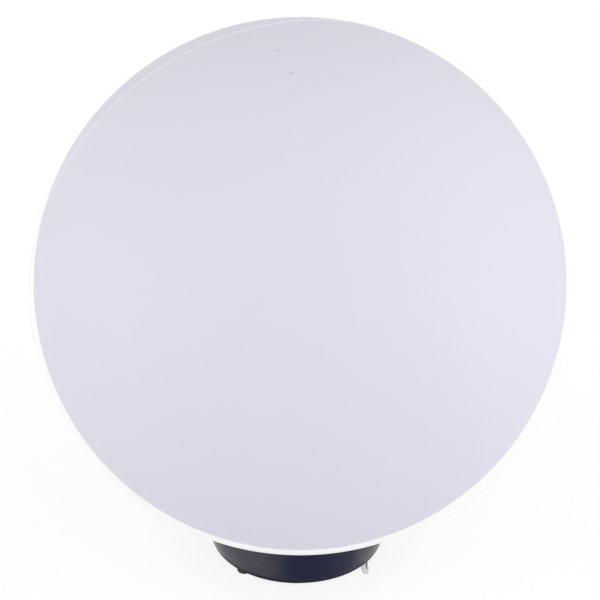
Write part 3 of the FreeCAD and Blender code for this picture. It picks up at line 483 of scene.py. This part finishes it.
# how much of the seam's painted highlight and of the specks' own tone shows, the height over which
# the seam's fades
SEAM_HIGHLIGHT_SHOWN, SPECK_SHOWN, SEAM_FADE = 0.6, 0.55, 0.01
# Facing where the white gloss begins and is full
GLOSS_START, GLOSS_FULL = 0.803, 0.821


def seam_columns(radius, offsets):
    """Angles round a ring: closely spaced ones along both sides of the seam, even ones between."""
    # 0.999 serves rings that are narrower than the rows
    beside = [math.asin(min(0.999, offset / radius)) for offset in offsets]
    angles = []
    for side in (0.0, math.pi):
        start, end = side + beside[-1], side + math.pi - beside[-1]
        angles += [side + angle for angle in beside]
        angles += [
            start + (end - start) * step / PLAIN_COLUMNS for step in range(1, PLAIN_COLUMNS)]
    return angles


def seam_plane(sizes):
    """The turn and lean that carry the front's plane onto the seam's."""
    return Matrix.Rotation(sizes.seam_turn, 3, "Z") @ Matrix.Rotation(sizes.seam_lean, 3, "X")


def globe_corners(sizes):
    """The closed surface of the globe with its seam bead and mouth tube."""
    radius, inner = sizes.globe_radius, sizes.globe_radius - sizes.globe_wall
    centre = Vector((0, 0, GLOBE_TOP - radius))
    half = sizes.seam_width / 2
    offsets = [half * number for number in SEAM_ROWS]
    bore, tube = sizes.mouth_radius, sizes.mouth_radius + sizes.mouth_wall
    last_out = math.pi - math.asin(bore / radius)
    last_in = math.pi - math.asin(tube / inner)
    turned = Matrix.Rotation(sizes.seam_turn, 3, "Z")

    def bead(offset, level):
        """Height of the bead at a distance from the seam's plane."""
        across = abs(offset) / half
        if across >= BEAD_FOOT:
            return 0.0
        along = min(1.0, max(0.0, (level - sizes.seam_end) / BEAD_FADE))
        return sizes.seam_proud * along * math.cos(math.pi * across / (2 * BEAD_FOOT)) ** 2

    def ball_ring(ball, tilt, beaded):
        """One ring of a sphere; tilt is the angle down from the top."""
        flat = ball * math.sin(tilt)
        share = min(1.0, max(0.0, (last_out - tilt) / LEVEL_OUT)) if beaded else 0.0
        lean = Matrix.Rotation(sizes.seam_lean * share * share * (3 - 2 * share), 3, "X")
        ring = []
        for angle in seam_columns(flat, offsets):
            place = Vector(on_circle(flat, angle, ball * math.cos(tilt)))
            outward = turned @ lean @ place.normalized()
            height = bead(place.y, centre.z + ball * outward.z) if beaded else 0.0
            ring.append(centre + outward * (ball + height))
        return ring

    def tube_ring(flat, level):
        """One ring of the mouth tube."""
        angles = seam_columns(flat, offsets)
        return [turned @ Vector(on_circle(flat, angle, level)) for angle in angles]

    steps = int(math.pi / TILT_STEP)
    tilts = [*TOP_TILTS, *(FIRST_TILT + TILT_STEP * step for step in range(steps))]
    rings = [ball_ring(radius, tilt, True) for tilt in tilts if tilt < last_out - LAST_GAP]
    rings.append(ball_ring(radius, last_out, False))
    top, rounded = sizes.mouth_top, sizes.mouth_top - MOUTH_ROUNDING
    for flat, level in (
            (bore, rounded), (bore + MOUTH_ROUNDING, top), (tube - MOUTH_ROUNDING, top),
            (tube, rounded)):
        rings.append(tube_ring(flat, level))
    rings.append(ball_ring(inner, last_in, False))
    rings += [
        ball_ring(inner, tilt, False) for tilt in reversed(tilts)
        if FIRST_TILT <= tilt < last_in - LAST_GAP]
    corners = [centre + seam_plane(sizes) @ Vector((0, 0, radius + sizes.seam_proud))]
    for ring in rings:
        corners += ring
    corners.append(centre + Vector((0, 0, inner)))
    width = len(rings[0])
    faces = []
    for step in range(width):
        after = (step + 1) % width
        faces.append((0, 1 + step, 1 + after))
        for row in range(len(rings) - 1):
            low = 1 + row * width
            faces.append((low + step, low + width + step, low + width + after, low + after))
        last = 1 + (len(rings) - 1) * width
        faces.append((last + step, len(corners) - 1, last + after))
    return corners, faces, centre


def lock_slot_cutters(sizes):
    """The arc-shaped blocks that cut the twist lock: three entries from below, then three runs."""
    radii = (sizes.mouth_radius - CUT_IN, sizes.mouth_radius + CUT_OUT)
    half = math.degrees(math.asin(ENTRY_HALF / sizes.mouth_radius))
    entry, run = (-LOCK_TURN - half, -LOCK_TURN + half), (-LOCK_TURN, half)
    for (start, end), bottom in ((entry, ENTRY_LOW), (run, SLOT_LOW)):
        corners, faces = [], []
        # a step for about every three degrees
        count = int((end - start) / 3) + 2
        for number in range(LUGS):
            locked = FIRST_LUG + 360.0 / LUGS * number
            first = len(corners)
            for step in range(count + 1):
                angle = math.radians(locked + start + (end - start) * step / count)
                for flat in radii:
                    corners += [on_circle(flat, angle, level) for level in (bottom, SLOT_HIGH)]
            for step in range(count):
                here, there = first + 4 * step, first + 4 * step + 4
                faces += [
                    (here + 1, there + 1, there, here), (here + 2, there + 2, there + 3, here + 3),
                    (here, there, there + 2, here + 2), (here + 3, there + 3, there + 1, here + 1)]
            last = first + 4 * count
            faces += [
                (first + 2, first + 3, first + 1, first), (last, last + 1, last + 3, last + 2)]
        yield mesh_object("slot_cutter", corners, faces, [])


def cut_away(piece, cutter):
    """Cut one mesh out of another and keep the plain result."""
    cut = piece.modifiers.new("lock slots", "BOOLEAN")
    cut.operation = "DIFFERENCE"
    cut.solver = "EXACT"
    cut.object = cutter
    bpy.context.view_layer.update()
    graph = bpy.context.evaluated_depsgraph_get()
    result = bpy.data.meshes.new_from_object(piece.evaluated_get(graph))
    piece.modifiers.clear()
    piece.data = result
    bpy.data.objects.remove(cutter)


def true_normals(piece, centre):
    """Exact normals on the spheres and the tube, flat ones on the small faces."""
    # how well a face lines up with a sphere or the tube, and the height that the tube stays under
    on_sphere, on_tube, tube_zone = 0.995, 0.95, 0.07
    mesh = piece.data
    smooth(mesh)
    normals = []
    for polygon in mesh.polygons:
        plain = polygon.normal.copy()
        for corner in polygon.vertices:
            place = mesh.vertices[corner].co
            outward = (place - centre).normalized()
            sideways = Vector((place.x, place.y, 0)).normalized()
            facing = plain.dot(outward)
            if abs(facing) > on_sphere:
                normals.append(outward * math.copysign(1, facing))
            elif place.z > tube_zone:
                normals.append(mesh.vertices[corner].normal.copy())
            elif abs(plain.dot(sideways)) > on_tube:
                normals.append(sideways * math.copysign(1, plain.dot(sideways)))
            else:
                normals.append(plain)
    mesh.normals_split_custom_set(normals)


def globe_finish(sizes, colours, centre):
    """Matt moulded plastic with a painted highlight along the seam, two specks and a white gloss at
    a grazing look.
    """
    finish, nodes, shader = new_finish("globe_plastic_moulded")
    place = nodes.place()
    drifted = use_group(nodes, "Tone drift", Colour=opaque(colours.globe), Amount=0.014, Scale=9.0)
    # painted highlight: the bead is a little paler than the skin beside it, for the light it
    # catches, down to where it fades out
    from_centre = nodes.vector("SUBTRACT", place, centre)[0]
    off_seam = nodes.vector("DOT_PRODUCT", from_centre, seam_plane(sizes) @ Vector((0, 1, 0)))
    on_seam = nodes.spread(
        nodes.math("ABSOLUTE", off_seam["Value"]), sizes.seam_width * 0.8, sizes.seam_width * 0.4)
    above = nodes.spread(nodes.axes(place)["Z"], sizes.seam_end, sizes.seam_end + SEAM_FADE)
    mask = nodes.times(nodes.times(on_seam, above), SEAM_HIGHLIGHT_SHOWN)
    surface = nodes.mix(mask, drifted["Colour"], opaque(colours.seam))
    for speck in SPECKS:
        middle = Vector(speck).normalized() * sizes.globe_radius
        away = nodes.vector("DISTANCE", from_centre, middle)["Value"]
        spot = nodes.spread(away, SPECK_RADIUS * 1.2, SPECK_RADIUS * 0.5)
        mask = nodes.times(spot, SPECK_SHOWN)
        surface = nodes.mix(mask, surface, opaque(colours.speck))
    skin = use_group(nodes, "Mould grain", Scale=900.0, Roughness=0.52, Swing=0.04)
    feed_shader(nodes, shader, surface, skin["Height"], skin["Roughness"], 0.004, 0.5)
    for socket, number in (("IOR", 1.42), ("Sheen Weight", 0.3), ("Sheen Roughness", 0.25)):
        shader.inputs[socket].default_value = number
    # the smooth skin turns to a plain white gloss where it is seen almost edge on
    grazing = nodes.add("ShaderNodeLayerWeight")
    grazing.inputs["Blend"].default_value = 0.5
    white = nodes.add("ShaderNodeBsdfAnisotropic")
    white.inputs["Color"].default_value = WHITE
    white.inputs["Roughness"].default_value = 0.7
    edge_on = nodes.spread(grazing.outputs["Facing"], GLOSS_START, GLOSS_FULL)
    nodes.link(nodes.mix_shader(edge_on, shader, white),
               finish.node_tree.nodes["Material Output"].inputs["Surface"])
    return finish


def make_globe(sizes, colours):
    """The globe: shell, seam bead, mouth tube and lock slots."""
    corners, faces, centre = globe_corners(sizes)
    piece = mesh_object("globe", corners, faces, [globe_finish(sizes, colours, centre)])
    for cutter in lock_slot_cutters(sizes):
        cut_away(piece, cutter)
    true_normals(piece, centre)
    add_piece(piece, "globe", "globe_plastic", "globe_shell")


# ---- the base ----

# painted reflection on the collar's left and right, broken up in patches: X in millimetres where it
# begins and is full, its strength
PAINTED_REFLECTION_BANDS = ((2, -28, 0.95), (41, 54, 0.9))


def make_base(colours):
    """The finishes of the collar with its painted reflection and painted edge highlight, the cover,
    tray and seals.
    """
    plastic = {"grain": 1400.0, "depth": 0.003, "drift": 0.12, "wear": colours.worn, "IOR": 1.18}
    dress(moulded_finish("black_plastic_plain", colours.cover, 0.26, **plastic),
          "bottom_cover", "battery_tray")
    finish = moulded_finish("black_plastic_painted_reflection", colours.black, 0.21, **plastic)
    nodes, shader, surface = reopen(finish)
    place = nodes.place()
    axes = nodes.axes(place)
    # painted reflection: paler bands on the collar's left and right by X, in noisy patches
    left, right = (
        nodes.spread(axes["X"], begin * MM, full * MM, 0.0, strength)
        for begin, full, strength in PAINTED_REFLECTION_BANDS)
    patches = nodes.spread(nodes.noise(place, 70.0, 4.0, 0.65), 0.3, 0.7, 0.75, 1.0)
    reflection_mask = nodes.times(nodes.math("ADD", left, right), patches)
    surface = nodes.mix(reflection_mask, surface, opaque(colours.painted_reflection))
    # painted highlight: a paler line just above the parting, where the rounded edge catches light,
    # soft on both sides
    begin, full, fade, end = (PARTING + height * MM for height in (0.0, 0.2, 0.6, 0.9))
    line = nodes.times(nodes.spread(axes["Z"], begin, full), nodes.spread(axes["Z"], end, fade))
    surface = nodes.mix(nodes.times(line, 0.8), surface, opaque(colours.edge_highlight))
    nodes.link(surface, shader.inputs["Base Color"])
    dress(finish, "base_collar")
    dress(moulded_finish(
        "clear_silicone_soft", colours.silicone, 0.45, grain=900.0, drift=0.04,
        Transmission_Weight=0.6, IOR=1.41), "seal_ring", "cover_seal")


def make_feet(colours):
    """The rubber feet: a flared foot with a hollow underside, its stem in the cover."""
    rubber = moulded_finish(
        "black_rubber_soft", colours.rubber, 0.42, grain=2200.0, drift=0.15, IOR=1.5)
    profile = (
        (0.0, 0.9), (2.6, 0.9), (3.2, 0.6), (3.8, 0.0), (5.4, 0.0), (5.9, 0.2), (6.1, 0.6),
        (6.0, 1.1), (5.6, 1.7), (5.0, 2.2), (4.7, 2.6), (4.6, 3.0), (4.6, 3.9), (0.0, 3.9))
    for number in range(1, 4):
        low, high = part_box(f"foot_{number}")
        middle = (low + high) / 2
        corners, faces, _ = lathe(profile, 48)
        placed = [Vector((middle.x, middle.y, low.z)) + Vector(corner) * MM for corner in corners]
        piece = mesh_object(f"rubber_foot_{number}", placed, faces, [rubber])
        shade_by_angle(piece, 50.0)
        add_piece(piece, "base", "black_rubber", f"foot_{number}")


def make_film_tab(sizes, colours):
    """The clear film tab: a tongue up beside the first cell and a tapered tail."""
    # places along the film, in millimetres: y, z and the left edge
    route = (
        (-24.95, 20.0, 45.7), (-24.95, 12.0, 45.7), (-24.95, 5.0, 45.7), (-24.97, 2.0, 45.7),
        (-25.2, 1.0, 45.8), (-26.0, 0.45, 46.1), (-29.0, 0.25, 47.0), (-34.0, 0.3, 48.8),
        (-38.5, 0.55, 50.3), (-41.5, 0.85, 51.2), (-44.0, 1.0, 51.7), (-46.5, 0.9, 52.0),
        (-48.5, 0.65, 52.3), (-50.0, 0.45, 52.7), (-50.9, 0.3, 53.2), (-51.5, 0.22, 53.8),
        (-51.9, 0.2, 54.8))
    # the right edge, which slopes in beyond its corner
    right, corner_y, slope = 57.3, -50.5, 0.8
    corners, faces = [], []
    across = 6
    for y, z, left in route:
        edge = right - slope * max(0.0, corner_y - y)
        for step in range(across + 1):
            x = left + (edge - left) * step / across
            corners.append((x * MM, y * MM, z * MM))
    for row in range(len(route) - 1):
        for step in range(across):
            low = row * (across + 1) + step
            faces.append((low, low + 1, low + across + 2, low + across + 1))
    finish = moulded_finish(
        "clear_film_thin", colours.film, 0.16, grain=600.0, depth=0.004, drift=0.05,
        Transmission_Weight=0.75, IOR=1.25)
    # painted shade: a dark line down the flat film stands for the shade in a crease: its X, its
    # outer and inner half width, its soft end
    crease_x, outer, inner, end, fade = (place * MM for place in (55.95, 0.55, 0.25, -47.5, -46.0))
    nodes, shader, surface = reopen(finish)
    axes = nodes.axes(nodes.place())
    off_crease = nodes.math("ABSOLUTE", nodes.math("SUBTRACT", axes["X"], crease_x))
    crease_shade = nodes.times(
        nodes.spread(off_crease, outer, inner), nodes.spread(axes["Y"], end, fade))
    surface = nodes.mix(nodes.times(crease_shade, 0.9), surface, opaque(colours.crease_shade))
    nodes.link(surface, shader.inputs["Base Color"])
    piece = mesh_object("film_tab", corners, faces, [finish])
    smooth(piece.data)
    thicken = piece.modifiers.new("film", "SOLIDIFY")
    thicken.thickness = sizes.film
    thicken.offset = 0.0
    add_piece(piece, "tab", "clear_film", "pull_tab")


# ---- the battery tray's contents ----

def make_cells(colours):
    """The AA cells: jacket, crimped ends, nub."""
    jacket = moulded_finish(
        "cell_jacket_printed", colours.jacket, 0.28, grain=500.0, depth=0.004, drift=0.10,
        IOR=1.5, Metallic=0.35)
    can = moulded_finish(
        "cell_can_plated", (0.62, 0.61, 0.58), 0.30, grain=1200.0, depth=0.004, drift=0.05,
        Metallic=1.0)
    profile = (
        (0.0, -24.75), (5.4, -24.75), (5.7, -24.6), (6.1, -24.6), (6.5, -24.5), (6.9, -24.3),
        (7.15, -24.0), (7.25, -23.6), (7.25, 10.5), (7.22, 10.6), (7.22, 10.9), (7.25, 11.0),
        (7.25, 23.6), (7.12, 24.1), (6.8, 24.4), (6.3, 24.55), (5.9, 24.5), (5.6, 24.2),
        (3.5, 24.2), (3.1, 24.4), (2.8, 24.9), (2.7, 25.4), (2.45, 25.7), (2.1, 25.75),
        (0.0, 25.75))
    # the steps of the profile that the jacket doesn't cover, at its two ends
    bare = {*range(4), *range(16, 24)}
    cell_circle = 0.049
    for number in range(3):
        low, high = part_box(f"battery_cell_{number + 1}")
        corners, faces, kinds = lathe(profile, 64, lambda index: int(index in bare))
        piece = mesh_object(
            f"aa_cell_{number + 1}", [Vector(c) * MM for c in corners], faces, [jacket, can])
        piece.data.polygons.foreach_set("material_index", kinds)
        shade_by_angle(piece)
        middle = Vector((cell_circle, 0, (low.z + high.z) / 2))
        spin = Matrix.Rotation(FULL_TURN * number / 3, 4, "Z")
        lay = Matrix.Rotation(-math.pi / 2, 4, "X")
        piece.matrix_world = spin @ Matrix.Translation(middle) @ lay
        add_piece(piece, "base", "cell_jacket", f"battery_cell_{number + 1}")


def make_contacts():
    """The finish of the contact plates."""
    dress(moulded_finish(
        "contact_nickel", (0.66, 0.64, 0.58), 0.27, grain=1800.0, depth=0.004, Metallic=1.0),
        "contacts_positive", "contacts_negative")


def make_screws(colours):
    """The finish of the screws."""
    dress(moulded_finish(
        "screw_steel_plated", colours.steel, 0.32, grain=2500.0, depth=0.006, drift=0.08,
        wear=(0.70, 0.70, 0.68), Metallic=1.0), "cover_screws", "board_screws", "led_screws")


def make_button(colours):
    """The finish of the button, the switch and its plunger."""
    dress(moulded_finish(
        "button_rubber_soft", colours.rubber, 0.55, grain=1800.0, depth=0.012, drift=0.12,
        IOR=1.5), "power_button")
    dress(moulded_finish(
        "switch_case_black", (0.02, 0.02, 0.022), 0.38, wear=(0.08, 0.08, 0.08)), "tact_switch")
    dress(moulded_finish(
        "plunger_nylon", (0.62, 0.60, 0.55), 0.42, depth=0.008), "switch_plunger")


# ---- boards and lamp ----

def board_finish(name, tone, track, scale):
    """A circuit board: solder mask over paler tracks."""
    track_width, track_edge, track_shown, track_height, grain_height = 0.035, 0.2, 0.55, 0.03, 0.2
    finish, nodes, shader = new_finish(name)
    drifted = use_group(nodes, "Tone drift", Colour=opaque(tone), Amount=0.08, Scale=80.0)
    brick = nodes.add("ShaderNodeTexBrick", offset=0.37, squash=1.0)
    nodes.link(nodes.place(), brick.inputs["Vector"])
    brick.inputs["Scale"].default_value = scale
    brick.inputs["Mortar Size"].default_value = track_width
    brick.inputs["Mortar Smooth"].default_value = track_edge
    tracks = nodes.times(brick.outputs["Fac"], track_shown)
    surface = nodes.mix(tracks, drifted["Colour"], opaque(track))
    skin = use_group(nodes, "Mould grain", Scale=700.0, Roughness=0.30, Swing=0.06)
    grain = nodes.times(skin["Height"], grain_height)
    height = nodes.math("ADD", brick.outputs["Fac"], grain)
    feed_shader(nodes, shader, surface, height, skin["Roughness"], track_height)
    return finish


def make_control_board(colours):
    """The finish of the control board and of the parts on it."""
    dress(board_finish("circuit_board_masked", colours.mask, (0.05, 0.24, 0.10), 260.0),
          "control_board")
    dress(moulded_finish(
        "board_part_nylon", (0.68, 0.66, 0.60), 0.40, wear=(0.8, 0.8, 0.76)), "board_parts")


def make_leds(sizes, colours):
    """The LEDs: a pale body with a round well of phosphor."""
    body = moulded_finish("led_body_ceramic", (0.82, 0.82, 0.78), 0.35, grain=2000.0, depth=0.004)
    well = moulded_finish(
        "led_phosphor", colours.phosphor, 0.22, grain=2600.0, depth=0.008, drift=0.05)
    # radius of each circle of LEDs, and how many it holds
    circles = ((0.024, 6), (0.037, 12))
    # the rounding of a body's upper edge; the well's depth, its rim and floor as shares of the body
    rounding, well_depth, well_rim, well_floor = 0.0001, 0.0003, 0.78, 0.68
    floor, top = (corner.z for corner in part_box("leds"))
    half = sizes.led_side / 2
    ring = 24

    def outline(size, level, square):
        """One ring of corners: a circle or a rounded square."""
        loop = []
        for step in range(ring):
            x, y, _ = on_circle(1.0, FULL_TURN * step / ring)
            reach = size / (abs(x) ** 8 + abs(y) ** 8) ** 0.125 if square else size
            loop.append((x * reach, y * reach, level))
        return loop

    loops = (
        outline(half, floor, True), outline(half, top - rounding, True),
        outline(half - rounding, top, True), outline(half * well_rim, top, False),
        outline(half * well_floor, top - well_depth, False))
    rows = len(loops) - 1
    corners, faces, kinds = [], [], []
    for circle, count in circles:
        for number in range(count):
            spin = Matrix.Rotation(FULL_TURN * number / count, 4, "Z")
            spin @= Matrix.Translation((circle, 0, 0))
            first = len(corners)
            for loop in loops:
                corners.extend(spin @ Vector(corner) for corner in loop)
            for row in range(rows):
                for step in range(ring):
                    after = (step + 1) % ring
                    low = first + row * ring
                    faces.append((low + step, low + after, low + ring + after, low + ring + step))
                    kinds.append(int(row == rows - 1))
            last = first + rows * ring
            faces.append(tuple(range(last, last + ring)))
            faces.append(tuple(range(first + ring - 1, first - 1, -1)))
            kinds += [1, 0]
    piece = mesh_object("led_packages", corners, faces, [body, well])
    piece.data.polygons.foreach_set("material_index", kinds)
    shade_by_angle(piece)
    add_piece(piece, "base", "led_lens", "leds")


def make_lamp(sizes, colours):
    """The lamp plate, the LED board with its LEDs, and the cap."""
    dress(moulded_finish(
        "plate_aluminium_rolled", (0.78, 0.78, 0.79), 0.34, grain=800.0, depth=0.006, drift=0.04,
        wear=(0.9, 0.9, 0.9), Metallic=1.0), "lamp_plate")
    dress(board_finish("white_board_masked", (0.80, 0.80, 0.78), (0.70, 0.69, 0.64), 150.0),
          "led_board")
    make_leds(sizes, colours)
    dress(moulded_finish(
        "opal_plastic_frosted", (0.86, 0.86, 0.85), 0.42, grain=1200.0, depth=0.008, drift=0.02,
        Transmission_Weight=0.45, IOR=1.49), "diffuser_cap")


def make_leads():
    """The finish of the two leads."""
    for finish, tone, node in (
            ("red_insulation_soft", (0.42, 0.018, 0.014), "lead_red"),
            ("black_insulation_soft", (0.014, 0.014, 0.015), "lead_black")):
        dress(moulded_finish(finish, tone, 0.36, depth=0.008), node)


# ---- the stage ----

# the surround dims towards this direction: the cosines where it begins and ends, what is left
HIGH_BEHIND = (0.0, 0.8, 0.6)
DIM_START, DIM_FULL, DIM_LEFT = 0.38, 0.82, 0.36
# X of the direction where the brighter sides begin and are full
SIDE_START, SIDE_FULL = 0.3, 0.95
# lamps: name, place, power
PANELS = (("left_panel", (-1.5, -0.7, 0.30), 1.7), ("right_panel", (1.5, -0.5, 0.35), 1.6))
PANEL_SIDE = 0.7
PANEL_AIM = Vector((0, 0, 0.12))


def make_floor(stage):
    """A wide pale floor that looks white and keeps a faint, soft shadow."""
    finish = bpy.data.materials.new("floor_paper")
    finish.use_nodes = True
    finish.node_tree.nodes.clear()
    nodes = Nodes(finish.node_tree)
    paper = nodes.add("ShaderNodeBsdfDiffuse")
    paper.inputs["Color"].default_value = opaque((0.93, 0.93, 0.93))
    white = nodes.add("ShaderNodeEmission")
    white.inputs["Color"].default_value = WHITE
    white.inputs["Strength"].default_value = stage.floor_white
    light = nodes.add("ShaderNodeLightPath").outputs
    straight = nodes.math("MAXIMUM", light["Is Camera Ray"], light["Is Transmission Ray"])
    straight = nodes.times(straight, 1.0 - stage.shadow)
    mirrored = nodes.times(light["Is Glossy Ray"], 1.0 - stage.mirrored)
    surface = nodes.mix_shader(nodes.math("MAXIMUM", straight, mirrored), paper, white)
    nodes.link(surface, nodes.add("ShaderNodeOutputMaterial").inputs["Surface"])
    reach, sides = 9.0, 96
    corners = [(0, 0, 0)] + [on_circle(reach, FULL_TURN * step / sides) for step in range(sides)]
    faces = [(0, 1 + step, 1 + (step + 1) % sides) for step in range(sides)]
    mesh_object("floor", corners, faces, [finish])


def make_sky(stage):
    """A soft surround, brighter at the sides, dimmer high behind, and white where seen directly."""
    world = bpy.data.worlds.new("studio_surround")
    world.use_nodes = True
    world.node_tree.nodes.clear()
    nodes = Nodes(world.node_tree)
    way = nodes.add("ShaderNodeTexCoord").outputs["Generated"]
    across = nodes.axes(way)["X"]
    behind = nodes.vector("DOT_PRODUCT", way, HIGH_BEHIND)["Value"]
    dimmed = nodes.spread(behind, DIM_START, DIM_FULL, 1.0, DIM_LEFT)
    right = nodes.times(nodes.spread(across, SIDE_START, SIDE_FULL), stage.right)
    left = nodes.times(nodes.spread(across, -SIDE_START, -SIDE_FULL), stage.left)
    level = nodes.math("ADD", nodes.times(dimmed, stage.sky), nodes.math("ADD", right, left))
    light = nodes.add("ShaderNodeBackground")
    light.inputs["Color"].default_value = WHITE
    nodes.link(level, light.inputs["Strength"])
    white = nodes.add("ShaderNodeBackground")
    white.inputs["Color"].default_value = opaque((stage.backdrop,) * 3)
    path = nodes.add("ShaderNodeLightPath").outputs
    direct = nodes.math("MAXIMUM", path["Is Camera Ray"], path["Is Glossy Ray"])
    direct = nodes.math("MAXIMUM", direct, path["Is Transmission Ray"])
    surface = nodes.mix_shader(direct, light, white)
    nodes.link(surface, nodes.add("ShaderNodeOutputWorld").inputs["Surface"])
    bpy.context.scene.world = world


def make_lamp_panel(name, place, power):
    """A large soft lamp."""
    light = bpy.data.lights.new(name, "AREA")
    light.shape = "SQUARE"
    light.size = PANEL_SIDE
    light.energy = power
    panel = bpy.data.objects.new(name, light)
    panel.location = place
    panel.rotation_euler = (PANEL_AIM - Vector(place)).to_track_quat("-Z", "Y").to_euler()
    bpy.context.scene.collection.objects.link(panel)


def make_camera(stage):
    """The camera at the photograph's angle."""
    data = bpy.data.cameras.new("camera")
    data.sensor_width = 36.0
    data.lens = stage.lens
    camera = bpy.data.objects.new("camera", data)
    aim = Matrix.Rotation(math.pi / 2 - stage.camera_pitch, 4, "X")
    aim @= Matrix.Rotation(stage.camera_roll, 4, "Z")
    camera.matrix_world = Matrix.Translation((0, -stage.camera_back, stage.camera_up)) @ aim
    bpy.context.scene.collection.objects.link(camera)
    bpy.context.scene.camera = camera


def make_stage(stage):
    """Floor, surround, lamps, camera and the plain colour transform."""
    make_camera(stage)
    make_floor(stage)
    make_sky(stage)
    for name, place, power in PANELS:
        make_lamp_panel(name, place, power)
    bpy.context.scene.view_settings.view_transform = "Standard"


# ---- operators, panel ----

class PieceOperator:
    """What every piece's operator shares."""

    bl_options = {"REGISTER", "UNDO"}

    def execute(self, context):
        """Build the pieces in the scene."""
        scene = context.scene
        self.build(scene.globe_light_sizes, scene.globe_light_colours, scene.globe_light_stage)
        return {"FINISHED"}


class GLOBELIGHT_OT_stage(PieceOperator, bpy.types.Operator):
    """Set up the floor, the surround, the lamps and the camera"""

    bl_idname = "globe_light.stage"
    bl_label = "Stage"

    def build(self, sizes, colours, stage):
        make_stage(stage)


class GLOBELIGHT_OT_globe(PieceOperator, bpy.types.Operator):
    """Build the moulded globe"""

    bl_idname = "globe_light.globe"
    bl_label = "Globe"

    def build(self, sizes, colours, stage):
        make_globe(sizes, colours)


class GLOBELIGHT_OT_base(PieceOperator, bpy.types.Operator):
    """Finish the collar, the cover, the tray and the seals"""

    bl_idname = "globe_light.base"
    bl_label = "Base"

    def build(self, sizes, colours, stage):
        make_base(colours)


class GLOBELIGHT_OT_feet(PieceOperator, bpy.types.Operator):
    """Finish the rubber feet"""

    bl_idname = "globe_light.feet"
    bl_label = "Feet"

    def build(self, sizes, colours, stage):
        make_feet(colours)


class GLOBELIGHT_OT_film_tab(PieceOperator, bpy.types.Operator):
    """Build the clear film tab"""

    bl_idname = "globe_light.film_tab"
    bl_label = "Film tab"

    def build(self, sizes, colours, stage):
        make_film_tab(sizes, colours)


class GLOBELIGHT_OT_cells(PieceOperator, bpy.types.Operator):
    """Build the cells"""

    bl_idname = "globe_light.cells"
    bl_label = "Cells"

    def build(self, sizes, colours, stage):
        make_cells(colours)


class GLOBELIGHT_OT_contacts(PieceOperator, bpy.types.Operator):
    """Finish the contact plates"""

    bl_idname = "globe_light.contacts"
    bl_label = "Contacts"

    def build(self, sizes, colours, stage):
        make_contacts()


class GLOBELIGHT_OT_screws(PieceOperator, bpy.types.Operator):
    """Finish the screws"""

    bl_idname = "globe_light.screws"
    bl_label = "Screws"

    def build(self, sizes, colours, stage):
        make_screws(colours)


class GLOBELIGHT_OT_button(PieceOperator, bpy.types.Operator):
    """Finish the push button and its switch"""

    bl_idname = "globe_light.button"
    bl_label = "Button and switch"

    def build(self, sizes, colours, stage):
        make_button(colours)


class GLOBELIGHT_OT_control_board(PieceOperator, bpy.types.Operator):
    """Finish the control board and its parts"""

    bl_idname = "globe_light.control_board"
    bl_label = "Control board"

    def build(self, sizes, colours, stage):
        make_control_board(colours)


class GLOBELIGHT_OT_lamp(PieceOperator, bpy.types.Operator):
    """Build the lamp: plate, LED board, LEDs and cap"""

    bl_idname = "globe_light.lamp"
    bl_label = "Lamp"

    def build(self, sizes, colours, stage):
        make_lamp(sizes, colours)


class GLOBELIGHT_OT_leads(PieceOperator, bpy.types.Operator):
    """Finish the leads"""

    bl_idname = "globe_light.leads"
    bl_label = "Leads"

    def build(self, sizes, colours, stage):
        make_leads()


OPERATORS = (
    GLOBELIGHT_OT_stage,
    GLOBELIGHT_OT_globe,
    GLOBELIGHT_OT_base,
    GLOBELIGHT_OT_feet,
    GLOBELIGHT_OT_film_tab,
    GLOBELIGHT_OT_cells,
    GLOBELIGHT_OT_contacts,
    GLOBELIGHT_OT_screws,
    GLOBELIGHT_OT_button,
    GLOBELIGHT_OT_control_board,
    GLOBELIGHT_OT_lamp,
    GLOBELIGHT_OT_leads,
)


class GLOBELIGHT_PT_panel(bpy.types.Panel):
    """Pieces, sizes and colours of the globe light"""

    bl_idname = "GLOBELIGHT_PT_panel"
    bl_label = "Globe Light"
    bl_space_type = "VIEW_3D"
    bl_region_type = "UI"
    bl_category = "Globe Light"

    def draw(self, context):
        """List the operators and the values."""
        for operator in OPERATORS:
            self.layout.operator(operator.bl_idname)
        scene = context.scene
        for group in (scene.globe_light_sizes, scene.globe_light_colours, scene.globe_light_stage):
            box = self.layout.box()
            for name in group.__annotations__:
                box.prop(group, name)


PROPERTY_GROUPS = {
    "globe_light_sizes": GlobeLightSizes,
    "globe_light_colours": GlobeLightColours,
    "globe_light_stage": GlobeLightStage,
}


def register():
    """Register the groups, the operators and the panel."""
    for name, group in PROPERTY_GROUPS.items():
        bpy.utils.register_class(group)
        setattr(bpy.types.Scene, name, bpy.props.PointerProperty(type=group))
    for item in (*OPERATORS, GLOBELIGHT_PT_panel):
        bpy.utils.register_class(item)


def unregister():
    """Take them out again."""
    for item in (GLOBELIGHT_PT_panel, *reversed(OPERATORS)):
        bpy.utils.unregister_class(item)
    for name, group in PROPERTY_GROUPS.items():
        delattr(bpy.types.Scene, name)
        bpy.utils.unregister_class(group)


def main():
    register()
    for operator in OPERATORS:
        category, name = operator.bl_idname.split(".")
        getattr(getattr(bpy.ops, category), name)()


if __name__ == "__main__":
    main()
